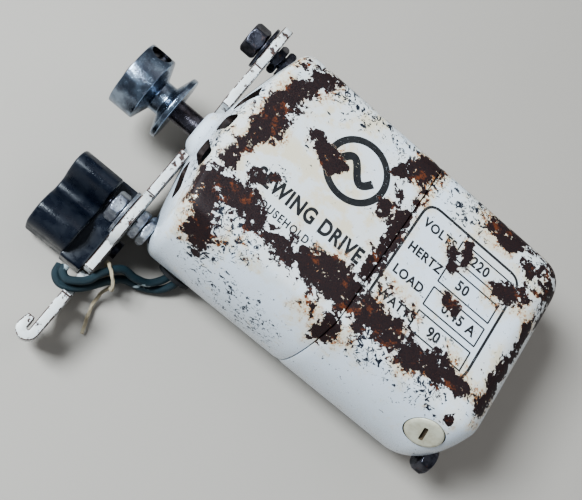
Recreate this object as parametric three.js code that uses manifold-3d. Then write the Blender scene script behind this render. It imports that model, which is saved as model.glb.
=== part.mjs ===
// Small universal motor for a domestic sewing machine: a two-part pressed-steel housing with two
// flats, a bracket strip bolted to its front, a three-pin supply connector and a belt pulley.
//
// Motor frame: X runs along the shaft towards the pulley, with 0 at the seam between the shells;
// Z points out of the upper flat. The whole is lifted so that it rests on its lower flat.
import * as THREE from 'three';
import { mergeVertices } from 'three/addons/utils/BufferGeometryUtils.js';
import Module from 'manifold-3d';

const wasm = await Module();
wasm.setup();

// ---------------------------------------------------------------- driving dimensions, millimetres
const GAP = 0.3;                  // between pieces that touch on the real motor
const ORIGIN_FROM_SEAM = 20;      // the origin lies under the front shell, this far from the seam

const HOUSING_RADIUS = 35;
const FLAT_HEIGHT = 23.2;         // shaft axis to either flat
const WALL = 1.5;                 // pressed steel
const FRONT_LENGTH = 44;          // seam to the start of the front shoulder
const FRONT_SHOULDER = 4.5;       // shoulder radius
const FRONT_DOME_RISE = 6.75;     // shoulder to the middle of the front dome
const FLAT_SHOULDER = 5;          // the flats roll into the front dome over this radius
const FLAT_SHOULDER_BACK = 1.3;   // its centre stands this far behind the dome's edge
const REAR_LENGTH = 39;           // seam to the start of the rear shoulder
const REAR_SHOULDER = 10.5;
const BOSS_RADIUS = 8;            // bearing boss inside either end
const NOSE_RADIUS = 6.4;          // the part of the front boss that shows
const NOSE_LENGTH = 2.4;          // how far it stands out of the dome

const VENT_PLACES = 12;           // round the dome; two of them are taken by the bolts
const VENT_FROM = 14.5;           // radial
const VENT_TO = 25;
const VENT_WIDTH = 4.6;
const VENT_TO_FLAT = 2.2;         // a vent that meets a flat stops this far below it

const SHAFT_RADIUS = 3.175;       // a quarter inch across
const SHAFT_PAST_PULLEY = 1;
const BUSH_RADIUS = 5;
const REAR_BUSH_LENGTH = 3.9;
const FRONT_BUSH_LENGTH = 9;
const FELT_THICKNESS = 2;
const FELT_WASHER_THICKNESS = 0.8;

const ARMATURE_RADIUS = 13.9;
const AIR_GAP = 0.6;
const STACK_FROM = -20;           // both lamination stacks
const STACK_TO = 12;
const ARMATURE_SLOTS = 11;
const SLOT_FLOOR = 7;             // radius of the armature slots' floor
const TOOTH_TIP = 1;              // radial thickness of a tooth's tip
const STATOR_WIDTH = 54;
const YOKE = 6;                   // iron left beside the pole windows
const COIL_OVERHANG = 6.7;        // field coil past either end of the stack
const COIL_HALF_HEIGHT = 15.6;
const COIL_CORNER = 6;
const COMMUTATOR_RADIUS = 9.3;
const COMMUTATOR_FROM = -42.4;
const COMMUTATOR_TO = -33;
const COMMUTATOR_BARS = 22;
const FAN_RADIUS = 20.8;
const FAN_FROM = 28;
const FAN_WIDTH = 8.6;
const FAN_BLADES = 9;

const BRUSH_X = -37.5;
const BRUSH_ANGLE = 66.5;         // degrees from +Z towards +Y
const BRUSH_SIZE = 5;
const BRUSH_LENGTH = 10;
const HOLDER_RADIUS = 5.4;
const HOLDER_BORE = 3.9;
const CAP_RADIUS = 5.4;
const CAP_HEAD = 1.6;
const CAP_PLUG = 4;               // the cap's part inside the holder
const CAP_SLOT = { width: 1.1, length: 5.2, depth: 0.9, turn: -17 };
const SPRING_RADIUS = 2.4;        // middle of the wire
const SPRING_WIRE = 0.35;         // wire radius
const SPRING_TURNS = 6;

const BOLT_RADIUS = 2;            // through bolts, 4 mm
const BOLT_CIRCLE = 31;
const BRACKET_TILT = -6;          // degrees about X; the bolts lie on the bracket's own Y axis
const NUT_FLATS = 7.8;
const NUT_HEIGHT = 2.4;
const HEAD_FLATS = 8;
const HEAD_HEIGHT = 4;
const WASHER_RADIUS = 6.6;
const WASHER_HEIGHT = 0.9;
const FRONT_SPOT_DEPTH = 0.26;    // spot face under the first nut, below the dome
const REAR_SPOT_DEPTH = 0.85;     // spot face under a head or nut at the rear

const PLATE_THICKNESS = 2.7;      // bracket
const EAR_RADIUS = 8.5;
const BOSS_CLEARANCE = 2.6;       // bracket notch round the nose
const PLATE_BOTTOM = -15.8;       // bracket's lower edge, in its own tilted frame
const LEAD_NOTCH = [47.6, 56];    // where the leads pass the bracket
const LEAD_NOTCH_FLOOR = -12.4;
const ARM_END = 72.4;
const ARM_TOP = -0.6;
const ARM_END_BOTTOM = -9;
const HEM_LENGTH = 6.2;
const HEM_GAP = 0.7;
const ARM_SLOT = { u: 62, w: -6.4, length: 8.6, width: 5.2 };

const CONNECTOR_BASE = 6.6;        // thickness of the connector's base
const CONNECTOR_LENGTH = 18.6;
const CONNECTOR_SIDE = [23.6, 48.2];
const CONNECTOR_BOTTOM = -16.6;
const SOCKET = { from: 26, to: 46, bottom: -14.4, top: -8, depth: 11 };
const PIN_RADIUS = 1.2;
const PIN_SHORT = 2;              // the pins end this far inside the socket's mouth
const PIN_PITCH = 7.4;
const CONNECTOR_SCREW_RADIUS = 1.5;

const PULLEY_RADIUS = 9.65;
const PULLEY_HUB_RADIUS = 4.5;
const PULLEY_LENGTH = 15.5;
const PULLEY_TO_NOSE = 7.27;      // room between the nose and the pulley
const FLANGE_RIM = 1.5;
const RIM_WIDTH = 7.4;            // the thick outer disc
const GROOVE_SLOPE = 1.9;         // axial run of either groove wall
const SET_SCREW_RADIUS = 2.6;
const SET_SCREW_HOLE = 3;
const SET_SCREW_ANGLE = -42;      // degrees from +Z towards +Y

const LEAD_RADIUS = 1.15;
const GROMMET_X = 36;
const GROMMET_ABOVE_FLAT = 6.23;  // its middle, above the lower flat
const GROMMET_HOLE = 4.4;         // hole in the shell
const TIE_RADIUS = 0.55;

// Lead routes, from the field coils through the grommet to the connector's side.
const LEAD_ROUTES = {
  motor_lead_a: [[21, 21.5, -11.5], [27, 22.6, -12], [33, 23.2, -12.6], [36, 24.4, -13.5],
    [37.35, 27.1, -15], [37.35, 29.95, -16.6], [37.35, 32.8, -18.2], [40.2, 37.2, -18.2],
    [44, 39.2, -16.4], [48.4, 40.2, -13.8], [51.8, 44.6, -12.6], [53.4, 48.6, -12.4],
    [55.6, 50.8, -12.4], [58.2, 52, -12.6], [60, 51, -12.6], [60.4, 49.4, -12.6]],
  motor_lead_b: [[21, 21.5, -14.8], [27, 23.8, -16], [31.5, 25.2, -15.8], [34.65, 27.1, -15],
    [34.65, 29.95, -16.6], [34.65, 32.8, -18.2], [36.6, 36, -20.6], [41, 38.8, -21],
    [46.4, 41, -18.6], [49.2, 44.4, -16.4], [51.2, 47.6, -15.4], [53.4, 50.6, -15.2],
    [56, 52.6, -15.2], [59, 53.4, -15.2], [61.2, 52, -15.3], [61.8, 49.4, -15.4]],
};
// A waxed thread tied once round both leads, with its tail hanging behind the arm.
const TIE_ROUTE = [[49.9, 43.7, -18.6], [52, 41.9, -17.5], [52.8, 41.1, -14.7], [52, 41.9, -11.9],
  [49.9, 43.7, -10.8], [47.8, 45.5, -11.9], [47, 46.3, -14.7], [47.8, 45.5, -17.5],
  [48.6, 47.4, -20], [48.4, 51, -21.4], [47.2, 55, -21.6], [45.6, 59, -21.7]];

// ---------------------------------------------------------------- sizes worked out from the above
const INNER_RADIUS = HOUSING_RADIUS - WALL;
const INNER_FLAT = FLAT_HEIGHT - WALL;
const SHOULDER_TURN = 72;         // degrees that the front shoulder turns before the dome begins
const DOME_EDGE_RADIUS = HOUSING_RADIUS - FRONT_SHOULDER * (1 - cosine(SHOULDER_TURN));
const DOME_EDGE_X = FRONT_LENGTH + FRONT_SHOULDER * sine(SHOULDER_TURN);
const DOME_TOP = DOME_EDGE_X + FRONT_DOME_RISE;
const NOSE_END = DOME_TOP + NOSE_LENGTH;
const PULLEY_FROM = NOSE_END + PULLEY_TO_NOSE;
const PULLEY_TO = PULLEY_FROM + PULLEY_LENGTH;
const SHAFT_END = PULLEY_TO + SHAFT_PAST_PULLEY;
const REAR_END = -REAR_LENGTH - REAR_SHOULDER;
const BORE_RADIUS = ARMATURE_RADIUS + AIR_GAP;
const GROMMET_DROP = (FLAT_HEIGHT - GROMMET_ABOVE_FLAT) / HOUSING_RADIUS;
const GROMMET_ANGLE = 90 + Math.asin(GROMMET_DROP) * THREE.MathUtils.RAD2DEG;  // from +Z to +Y
const SHAFT_BORE = SHAFT_RADIUS + GAP;
const BUSH_BORE = BUSH_RADIUS + GAP;
const REAR_BUSH_FROM = REAR_END + WALL + GAP;
const REAR_BUSH_TO = REAR_BUSH_FROM + REAR_BUSH_LENGTH;
const FRONT_BUSH_TO = DOME_TOP + 0.2;
const FRONT_BUSH_FROM = FRONT_BUSH_TO - FRONT_BUSH_LENGTH;
const BOLT_HOLE = BOLT_RADIUS + GAP;
const SPOT_RADIUS = WASHER_RADIUS - 1.2;
const FRONT_SEAT = domeX(BOLT_CIRCLE, 0) - FRONT_SPOT_DEPTH;
const REAR_SEAT = rearX(BOLT_CIRCLE) + REAR_SPOT_DEPTH;
const FIRST_NUT = FRONT_SEAT + GAP;
const SECOND_NUT = FIRST_NUT + NUT_HEIGHT + GAP;
const PLATE_REAR = SECOND_NUT + NUT_HEIGHT + GAP;
const PLATE_FRONT = PLATE_REAR + PLATE_THICKNESS;
const OUTER_WASHER = PLATE_FRONT + GAP;
const OUTER_NUT = OUTER_WASHER + WASHER_HEIGHT + GAP;
const CONNECTOR_FROM = PLATE_FRONT + GAP;
const CONNECTOR_TO = CONNECTOR_FROM + CONNECTOR_LENGTH;

// ---------------------------------------------------------------- helpers
function cosine(degrees) {
  return Math.cos(THREE.MathUtils.degToRad(degrees));
}

function sine(degrees) {
  return Math.sin(THREE.MathUtils.degToRad(degrees));
}

// Points [x, y] on an arc, angles in degrees, both ends included.
function arc(cx, cy, radius, from, to, steps) {
  return Array.from({ length: steps + 1 }, (_, i) => {
    const angle = from + ((to - from) * i) / steps;
    return [cx + radius * cosine(angle), cy + radius * sine(angle)];
  });
}

function outline(points) {
  return new THREE.Shape(points.map(([x, y]) => new THREE.Vector2(x, y)));
}

function basis(first, second, third) {
  return new THREE.Matrix4().makeBasis(
    new THREE.Vector3(...first), new THREE.Vector3(...second), new THREE.Vector3(...third));
}

// A shape drawn in (Y, Z), standing between two values of X.
const SHAPE_TO_X = basis([0, 1, 0], [0, 0, 1], [1, 0, 0]);
function plate(shape, from, to, curveSegments = 8) {
  const geometry = new THREE.ExtrudeGeometry(
    shape, { depth: to - from, bevelEnabled: false, curveSegments });
  return geometry.applyMatrix4(SHAPE_TO_X).translate(from, 0, 0);
}

// A shape drawn in (X, Z), standing between -half and +half of Y.
const SHAPE_TO_MINUS_Y = basis([1, 0, 0], [0, 0, 1], [0, -1, 0]);
function slab(shape, half) {
  const geometry = new THREE.ExtrudeGeometry(shape, { depth: 2 * half, bevelEnabled: false });
  return geometry.applyMatrix4(SHAPE_TO_MINUS_Y).translate(0, half, 0);
}

// A profile of [x, radius] points turned round the X axis; it closes on itself off the axis.
function turned(profile, segments = 20) {
  const area = profile.reduce((sum, [x, r], i) => {
    const [nextX, nextR] = profile[(i + 1) % profile.length];
    return sum + r * nextX - nextR * x;
  }, 0);
  const points = (area > 0 ? profile : [...profile].reverse())
    .map(([x, r]) => new THREE.Vector2(r, x));
  if (points[0].x > 0) points.push(points[0].clone());
  return new THREE.LatheGeometry(points, segments).rotateZ(-Math.PI / 2);
}

function rod(from, to, radius, segments = 16) {
  return turned([[from, 0], [from, radius], [to, radius], [to, 0]], segments);
}

function ring(from, to, inner, outer, segments = 20) {
  return turned([[from, inner], [from, outer], [to, outer], [to, inner]], segments);
}

function hexagon(from, to, flats) {
  return rod(from, to, flats / 2 / cosine(30), 6);
}

function toSolid(geometry) {
  const bare = geometry.clone();
  bare.deleteAttribute('normal');
  bare.deleteAttribute('uv');
  const merged = mergeVertices(bare, 1e-4);
  const corners = merged.index.array;
  const triangles = [];
  for (let i = 0; i < corners.length; i += 3) {
    const [a, b, c] = [corners[i], corners[i + 1], corners[i + 2]];
    if (a !== b && b !== c && c !== a) triangles.push(a, b, c);
  }
  return new wasm.Manifold(new wasm.Mesh({
    numProp: 3,
    vertProperties: Float32Array.from(merged.attributes.position.array),
    triVerts: Uint32Array.from(triangles),
  }));
}

function toGeometry(solid) {
  const { vertProperties, triVerts } = solid.getMesh();
  const geometry = new THREE.BufferGeometry();
  geometry.setAttribute('position', new THREE.BufferAttribute(vertProperties, 3));
  geometry.setIndex(new THREE.BufferAttribute(triVerts, 1));
  geometry.computeVertexNormals();
  return geometry;
}

function join(...pieces) {
  return toGeometry(pieces.map(toSolid).reduce((sum, piece) => sum.add(piece)));
}

function cut(geometry, ...tools) {
  return toGeometry(tools.reduce((rest, tool) => rest.subtract(toSolid(tool)), toSolid(geometry)));
}

function common(first, second) {
  return toGeometry(toSolid(first).intersect(toSolid(second)));
}

// A copy moved to (y, z) and then turned about the shaft axis by an angle in degrees.
function placed(geometry, y, z, turn = 0) {
  return geometry.clone().translate(0, y, z).rotateX(THREE.MathUtils.degToRad(turn));
}

// A piece made along X, turned to point away from the shaft at an angle from +Z towards +Y.
function radial(geometry, angle, x) {
  const away = [0, sine(angle), cosine(angle)];
  const across = [0, cosine(angle), -sine(angle)];
  return geometry.clone().applyMatrix4(basis(away, [1, 0, 0], across)).translate(x, 0, 0);
}

// A round cord through the points of a route.
function cord(route, radius, steps, sides = 8) {
  const path = route instanceof THREE.Curve ? route : new THREE.CatmullRomCurve3(
    route.map((point) => new THREE.Vector3(...point)), false, 'centripetal');
  const section = new THREE.Shape(
    arc(0, 0, radius, 0, 360, sides).slice(0, sides).map(([x, y]) => new THREE.Vector2(x, y)));
  return new THREE.ExtrudeGeometry(section, { steps, bevelEnabled: false, extrudePath: path });
}

class Helix extends THREE.Curve {
  constructor(radius, from, to, turns) {
    super();
    Object.assign(this, { radius, from, to, turns });
  }

  getPoint(t) {
    const angle = t * this.turns * 360;
    return new THREE.Vector3(
      this.from + (this.to - this.from) * t, this.radius * cosine(angle), this.radius * sine(angle));
  }
}

// ---------------------------------------------------------------- finishes
const FINISHES = {
  enamel: [0xdde1df, 0.42, 0.05],
  steel: [0x8f8f92, 0.42, 0.85],
  dark_steel: [0x3d3d42, 0.55, 0.7],
  laminations: [0x55565a, 0.6, 0.7],
  copper: [0xa8562d, 0.4, 0.6],
  bakelite: [0x15182a, 0.22, 0],
  ivory: [0xd9d2ba, 0.4, 0],
  brass: [0xb6924a, 0.35, 0.9],
  bronze: [0x9a6f3c, 0.45, 0.8],
  carbon: [0x232325, 0.6, 0.2],
  fibre: [0x6b4a34, 0.7, 0],
  rubber: [0x1d1d1f, 0.8, 0],
  lead_sleeve: [0x27424f, 0.6, 0],
  thread: [0xb9ab8c, 0.9, 0],
  felt: [0xc9bfa6, 0.95, 0],
  fan_alloy: [0xb9bcc0, 0.4, 0.8],
};

const motor = new THREE.Group();
motor.position.set(-ORIGIN_FROM_SEAM, 0, FLAT_HEIGHT);

function add(name, geometry, finish) {
  const [color, roughness, metalness] = FINISHES[finish];
  const mesh = new THREE.Mesh(
    geometry, new THREE.MeshStandardMaterial({ color, roughness, metalness }));
  mesh.name = name;
  motor.add(mesh);
}

// ---------------------------------------------------------------- housing
const HOUSING_SEGMENTS = 48;

// x of the front dome at a radius, for the outer surface or one set in from it.
function domeX(radius, inset) {
  const share = radius / (DOME_EDGE_RADIUS - inset);
  return DOME_EDGE_X - inset + FRONT_DOME_RISE * (1 - share ** 1.5);
}

// x of the rear shell's outer surface at a radius: a flat end with a rounded shoulder.
function rearX(radius) {
  const past = Math.max(0, radius - (HOUSING_RADIUS - REAR_SHOULDER));
  return -REAR_LENGTH - Math.sqrt(REAR_SHOULDER ** 2 - past ** 2);
}

function frontBody(from, inset) {
  const profile = [[from, 0], [from, HOUSING_RADIUS - inset]];
  profile.push(...arc(FRONT_LENGTH, HOUSING_RADIUS - FRONT_SHOULDER, FRONT_SHOULDER - inset,
    90, 90 - SHOULDER_TURN, 3));
  for (const share of [0.88, 0.74, 0.58, 0.4, 0.22, 0]) {
    const radius = share * (DOME_EDGE_RADIUS - inset);
    profile.push([domeX(radius, inset), radius]);
  }
  const height = FLAT_HEIGHT - inset;
  const roll = arc(DOME_EDGE_X - FLAT_SHOULDER_BACK, FLAT_HEIGHT - FLAT_SHOULDER,
    FLAT_SHOULDER - inset, 90, 90 - SHOULDER_TURN, 4);
  const side = [[from - 1, height], ...roll, [NOSE_END + 3, FLAT_HEIGHT / 2]];
  const mirrored = side.map(([x, z]) => [x, -z]).reverse();
  return common(
    turned(profile, HOUSING_SEGMENTS), slab(outline([...side, ...mirrored]), HOUSING_RADIUS + 1));
}

function rearBody(from, inset) {
  const shoulder = (height) => arc(
    -REAR_LENGTH, height - REAR_SHOULDER, REAR_SHOULDER - inset, 90, 180, 6);
  const profile = [[from, 0], [from, HOUSING_RADIUS - inset], ...shoulder(HOUSING_RADIUS)];
  profile.push([REAR_END + inset, 0]);
  const side = [[from + 1, FLAT_HEIGHT - inset], ...shoulder(FLAT_HEIGHT)];
  side.push([REAR_END - 1, FLAT_HEIGHT - REAR_SHOULDER]);
  const mirrored = side.map(([x, z]) => [x, -z]).reverse();
  return common(turned(profile, HOUSING_SEGMENTS),
    slab(outline([...side, ...mirrored].reverse()), HOUSING_RADIUS + 1));
}

function atBolts(geometry) {
  return [placed(geometry, BOLT_CIRCLE, 0, BRACKET_TILT),
    placed(geometry, -BOLT_CIRCLE, 0, BRACKET_TILT)];
}

function ventTool(to) {
  const half = VENT_WIDTH / 2;
  const corner = half * 0.6;
  return plate(outline([
    ...arc(half - corner, VENT_FROM + corner, corner, -90, 0, 1),
    ...arc(half - corner, to - corner, corner, 0, 90, 1),
    ...arc(corner - half, to - corner, corner, 90, 180, 1),
    ...arc(corner - half, VENT_FROM + corner, corner, 180, 270, 1),
  ]), FRONT_LENGTH - 4, NOSE_END + 1);
}

// Vents share the bolts' pattern. A turn runs from +Z towards -Y, and the bolts take 90 and 270.
function ventTools() {
  const pitch = 360 / VENT_PLACES;
  const turns = Array.from({ length: VENT_PLACES }, (_, i) => i * pitch)
    .filter((turn) => Math.abs(Math.abs(turn - 180) - 90) > pitch / 2);
  return turns.map((turn) => {
    const angle = turn + BRACKET_TILT;
    const flat = (FLAT_HEIGHT - VENT_TO_FLAT) / Math.abs(cosine(angle));
    return placed(ventTool(Math.min(VENT_TO, flat)), 0, 0, angle);
  });
}

function frontShell() {
  const from = GAP / 2;
  const outer = frontBody(from, 0);
  const nose = turned([
    [FRONT_BUSH_FROM - 1, 0], [FRONT_BUSH_FROM - 1, BOSS_RADIUS], [DOME_TOP - 1.6, BOSS_RADIUS],
    [DOME_TOP - 0.2, NOSE_RADIUS + 0.8], [DOME_TOP + 0.6, NOSE_RADIUS],
    [NOSE_END - 0.8, NOSE_RADIUS - 0.9], [NOSE_END, NOSE_RADIUS - 2.2], [NOSE_END, 0]]);
  const posts = atBolts(rod(FRONT_LENGTH + 1, DOME_TOP, SPOT_RADIUS - 0.4))
    .map((post) => common(post, outer));
  const body = join(cut(outer, frontBody(from - 1, WALL)), nose, ...posts);
  return cut(body, ...ventTools(),
    ...atBolts(rod(FRONT_LENGTH, NOSE_END, BOLT_HOLE, 16)),
    ...atBolts(rod(FRONT_SEAT, NOSE_END, SPOT_RADIUS)),
    rod(FRONT_BUSH_FROM - 2, FRONT_BUSH_TO + GAP, BUSH_BORE),
    rod(FRONT_BUSH_FROM, NOSE_END + 1, SHAFT_BORE),
    radial(rod(HOUSING_RADIUS - 6, HOUSING_RADIUS + 6, GROMMET_HOLE, 20), GROMMET_ANGLE, GROMMET_X));
}

function rearShell() {
  const from = -GAP / 2;
  const outer = rearBody(from, 0);
  const boss = rod(REAR_END + WALL / 2, REAR_BUSH_TO - 0.2, BOSS_RADIUS);
  const posts = atBolts(rod(REAR_END, -REAR_LENGTH - 3.4, SPOT_RADIUS - 0.4))
    .map((post) => common(post, outer));
  const body = join(cut(outer, rearBody(from + 1, WALL)), boss, ...posts);
  const port = rod(HOUSING_RADIUS - 9, HOUSING_RADIUS + 4, HOLDER_RADIUS + GAP, 28);
  return cut(body,
    ...atBolts(rod(REAR_END - 1, -REAR_LENGTH, BOLT_HOLE, 16)),
    ...atBolts(rod(REAR_END - 1, REAR_SEAT, SPOT_RADIUS)),
    rod(REAR_BUSH_FROM - GAP, REAR_BUSH_TO + 1, BUSH_BORE),
    radial(port, BRUSH_ANGLE, BRUSH_X), radial(port, BRUSH_ANGLE + 180, BRUSH_X));
}

// ---------------------------------------------------------------- bearings
function bearings() {
  const bush = (from, to) => ring(from, to, SHAFT_BORE, BUSH_RADIUS);
  add('front_bearing', bush(FRONT_BUSH_FROM, FRONT_BUSH_TO), 'bronze');
  add('rear_bearing', bush(REAR_BUSH_FROM, REAR_BUSH_TO), 'bronze');
  const feltTo = FRONT_BUSH_FROM - 1 - GAP;
  const feltFrom = feltTo - FELT_THICKNESS;
  add('front_oil_felt', ring(feltFrom, feltTo, SHAFT_BORE, BOSS_RADIUS), 'felt');
  add('front_felt_washer', ring(feltFrom - GAP - FELT_WASHER_THICKNESS, feltFrom - GAP,
    SHAFT_BORE, BOSS_RADIUS + 1), 'steel');
  add('rear_thrust_washer', ring(REAR_BUSH_TO + GAP, COMMUTATOR_FROM - GAP, SHAFT_BORE,
    BOSS_RADIUS - 2), 'fibre');
}

// ---------------------------------------------------------------- stator and field coils
const YOKE_HALF = [STATOR_WIDTH / 2, INNER_FLAT - GAP];
const POLE_NECK = 9;              // half height of a pole between its coil's sides
const SHOE_RADIUS = BORE_RADIUS + 2.5;
const SHOE_SPREAD = 55;           // degrees either side of the pole's middle

function roundedBox(halfY, halfZ, corner) {
  const [y, z] = [halfY - corner, halfZ - corner];
  return outline([...arc(y, -z, corner, -90, 0, 3), ...arc(y, z, corner, 0, 90, 3),
    ...arc(-y, z, corner, 90, 180, 3), ...arc(-y, -z, corner, 180, 270, 3)]);
}

function statorCore() {
  const [halfY, halfZ] = YOKE_HALF;
  const yoke = cut(plate(roundedBox(halfY, halfZ, 8), STACK_FROM, STACK_TO),
    plate(roundedBox(halfY - YOKE, halfZ - YOKE + 1.5, 1.2), STACK_FROM - 1, STACK_TO + 1));
  const pole = (side) => {
    const shoe = [...arc(0, 0, SHOE_RADIUS, -SHOE_SPREAD, SHOE_SPREAD, 8),
      ...arc(0, 0, BORE_RADIUS, SHOE_SPREAD, -SHOE_SPREAD, 8)];
    const neck = [[BORE_RADIUS + 0.6, -POLE_NECK], [halfY - 1, -POLE_NECK],
      [halfY - 1, POLE_NECK], [BORE_RADIUS + 0.6, POLE_NECK]];
    const piece = join(plate(outline(shoe), STACK_FROM, STACK_TO),
      plate(outline(neck), STACK_FROM, STACK_TO));
    return placed(piece, 0, 0, side);
  };
  const bore = rod(STACK_FROM - 1, STACK_TO + 1, BORE_RADIUS, 48);
  return cut(join(yoke, pole(0), pole(180)), bore);
}

function fieldCoil() {
  const [inner, outer] = [SHOE_RADIUS + GAP, YOKE_HALF[0] - YOKE - GAP];
  const [fromX, toX] = [STACK_FROM - COIL_OVERHANG, STACK_TO + COIL_OVERHANG];
  const loop = (x0, x1, z, corner) => {
    const [mid, half] = [(x0 + x1) / 2, (x1 - x0) / 2];
    const [a, b] = [half - corner, z - corner];
    return [...arc(mid + a, -b, corner, -90, 0, 3), ...arc(mid + a, b, corner, 0, 90, 3),
      ...arc(mid - a, b, corner, 90, 180, 3), ...arc(mid - a, -b, corner, 180, 270, 3)];
  };
  const shape = outline(loop(fromX, toX, COIL_HALF_HEIGHT, COIL_CORNER));
  shape.holes.push(outline(loop(STACK_FROM - GAP, STACK_TO + GAP, POLE_NECK + GAP, 0.5)));
  const depth = outer - inner;
  return slab(shape, depth / 2).translate(0, inner + depth / 2, 0);
}

// ---------------------------------------------------------------- rotor
function armature() {
  const pitch = 360 / ARMATURE_SLOTS;
  const tooth = (i, radius, share) => {
    const angle = (i + share) * pitch;
    return [radius * cosine(angle), radius * sine(angle)];
  };
  const tip = ARMATURE_RADIUS - TOOTH_TIP;
  const neck = tip - 0.5;
  const edge = [];
  for (let i = 0; i < ARMATURE_SLOTS; i += 1) {
    edge.push(tooth(i, SLOT_FLOOR, -0.2), tooth(i, SLOT_FLOOR, 0.2), tooth(i, neck, 0.3),
      tooth(i, tip, 0.07), tooth(i, ARMATURE_RADIUS, 0.08), tooth(i, ARMATURE_RADIUS, 0.5),
      tooth(i, ARMATURE_RADIUS, 0.92), tooth(i, tip, 0.93), tooth(i, neck, 0.7));
  }
  const core = cut(plate(outline(edge), STACK_FROM, STACK_TO),
    rod(STACK_FROM - 1, STACK_TO + 1, SHAFT_BORE));
  add('armature_core', core, 'laminations');

  const bundle = (from, to) => turned([[from, 4.4], [from, 9.6], [from + 1.4, 11.8],
    [to - 1.4, 12.6], [to, 11.4], [to, 4.4]]);
  const side = plate(outline([[7.4, -0.9], [11.9, -1.6], [11.9, 1.6], [7.4, 0.9]]),
    STACK_FROM - 2, STACK_TO + 2);
  const sides = Array.from(
    { length: ARMATURE_SLOTS }, (_, i) => placed(side, 0, 0, i * pitch));
  const winding = join(bundle(COMMUTATOR_TO + 1, STACK_FROM - GAP),
    bundle(STACK_TO + GAP, STACK_TO + 11), ...sides);
  add('armature_winding', winding, 'copper');
}

function commutator() {
  const edge = [];
  for (let i = 0; i < COMMUTATOR_BARS; i += 1) {
    const angle = (share) => ((i + share) * 360) / COMMUTATOR_BARS;
    const point = (radius, share) => [radius * cosine(angle(share)), radius * sine(angle(share))];
    edge.push(point(COMMUTATOR_RADIUS - 0.6, 0), point(COMMUTATOR_RADIUS, 0.12),
      point(COMMUTATOR_RADIUS, 0.88));
  }
  return cut(plate(outline(edge), COMMUTATOR_FROM, COMMUTATOR_TO),
    rod(COMMUTATOR_FROM - 1, COMMUTATOR_TO + 1, SHAFT_BORE));
}

function coolingFan() {
  const to = FAN_FROM + FAN_WIDTH;
  const disc = ring(to - 1.4, to, SHAFT_BORE, FAN_RADIUS);
  const hub = ring(FAN_FROM, to, SHAFT_BORE, SHAFT_BORE + 3.4);
  const blade = plate(outline([[SHAFT_BORE + 2.6, -0.6], [FAN_RADIUS - 0.6, -0.6],
    [FAN_RADIUS - 0.6, 0.6], [SHAFT_BORE + 2.6, 0.6]]), FAN_FROM, to - 0.8);
  const blades = Array.from(
    { length: FAN_BLADES }, (_, i) => placed(blade, 0, 0, (i * 360) / FAN_BLADES));
  return join(disc, hub, ...blades);
}

function pulley() {
  const flange = PULLEY_FROM + FLANGE_RIM;
  const rim = PULLEY_TO - RIM_WIDTH;
  const chamfer = 0.6;
  const body = turned([
    [PULLEY_FROM, SHAFT_BORE], [PULLEY_FROM, PULLEY_RADIUS - 0.3], [PULLEY_FROM + 0.4, PULLEY_RADIUS],
    [flange, PULLEY_RADIUS], [flange + GROOVE_SLOPE, PULLEY_HUB_RADIUS],
    [rim - GROOVE_SLOPE, PULLEY_HUB_RADIUS], [rim, PULLEY_RADIUS],
    [PULLEY_TO - chamfer, PULLEY_RADIUS], [PULLEY_TO, PULLEY_RADIUS - chamfer],
    [PULLEY_TO, SHAFT_BORE]], 36);
  const hole = rod(0, PULLEY_RADIUS + 1, SET_SCREW_HOLE, 20);
  return cut(body, radial(hole, SET_SCREW_ANGLE, PULLEY_TO - RIM_WIDTH / 2));
}

function setScrew() {
  const [from, to] = [SHAFT_RADIUS + GAP, PULLEY_RADIUS - 1.2];
  const slot = new THREE.BoxGeometry(1, 0.7, 2 * SET_SCREW_RADIUS + 1).translate(to, 0, 0);
  return radial(cut(rod(from, to, SET_SCREW_RADIUS), slot),
    SET_SCREW_ANGLE, PULLEY_TO - RIM_WIDTH / 2);
}

function rotor() {
  const chamfer = 0.5;
  const from = REAR_BUSH_FROM + 0.3;
  add('shaft', turned([[from, 0], [from, SHAFT_RADIUS - chamfer], [from + chamfer, SHAFT_RADIUS],
    [SHAFT_END - chamfer, SHAFT_RADIUS], [SHAFT_END, SHAFT_RADIUS - chamfer],
    [SHAFT_END, 0]]), 'steel');
  armature();
  add('commutator', commutator(), 'copper');
  add('cooling_fan', coolingFan(), 'fan_alloy');
  add('pulley', pulley(), 'steel');
  add('pulley_set_screw', setScrew(), 'dark_steel');
}

// ---------------------------------------------------------------- brush gear
const BRUSH_FROM = COMMUTATOR_RADIUS + GAP;
const BRUSH_TO = BRUSH_FROM + BRUSH_LENGTH;
const HOLDER_FROM = COMMUTATOR_RADIUS + 1.9;
const CAP_TO = HOUSING_RADIUS + 0.2;
const HOLDER_TO = CAP_TO - CAP_HEAD - GAP;

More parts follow.
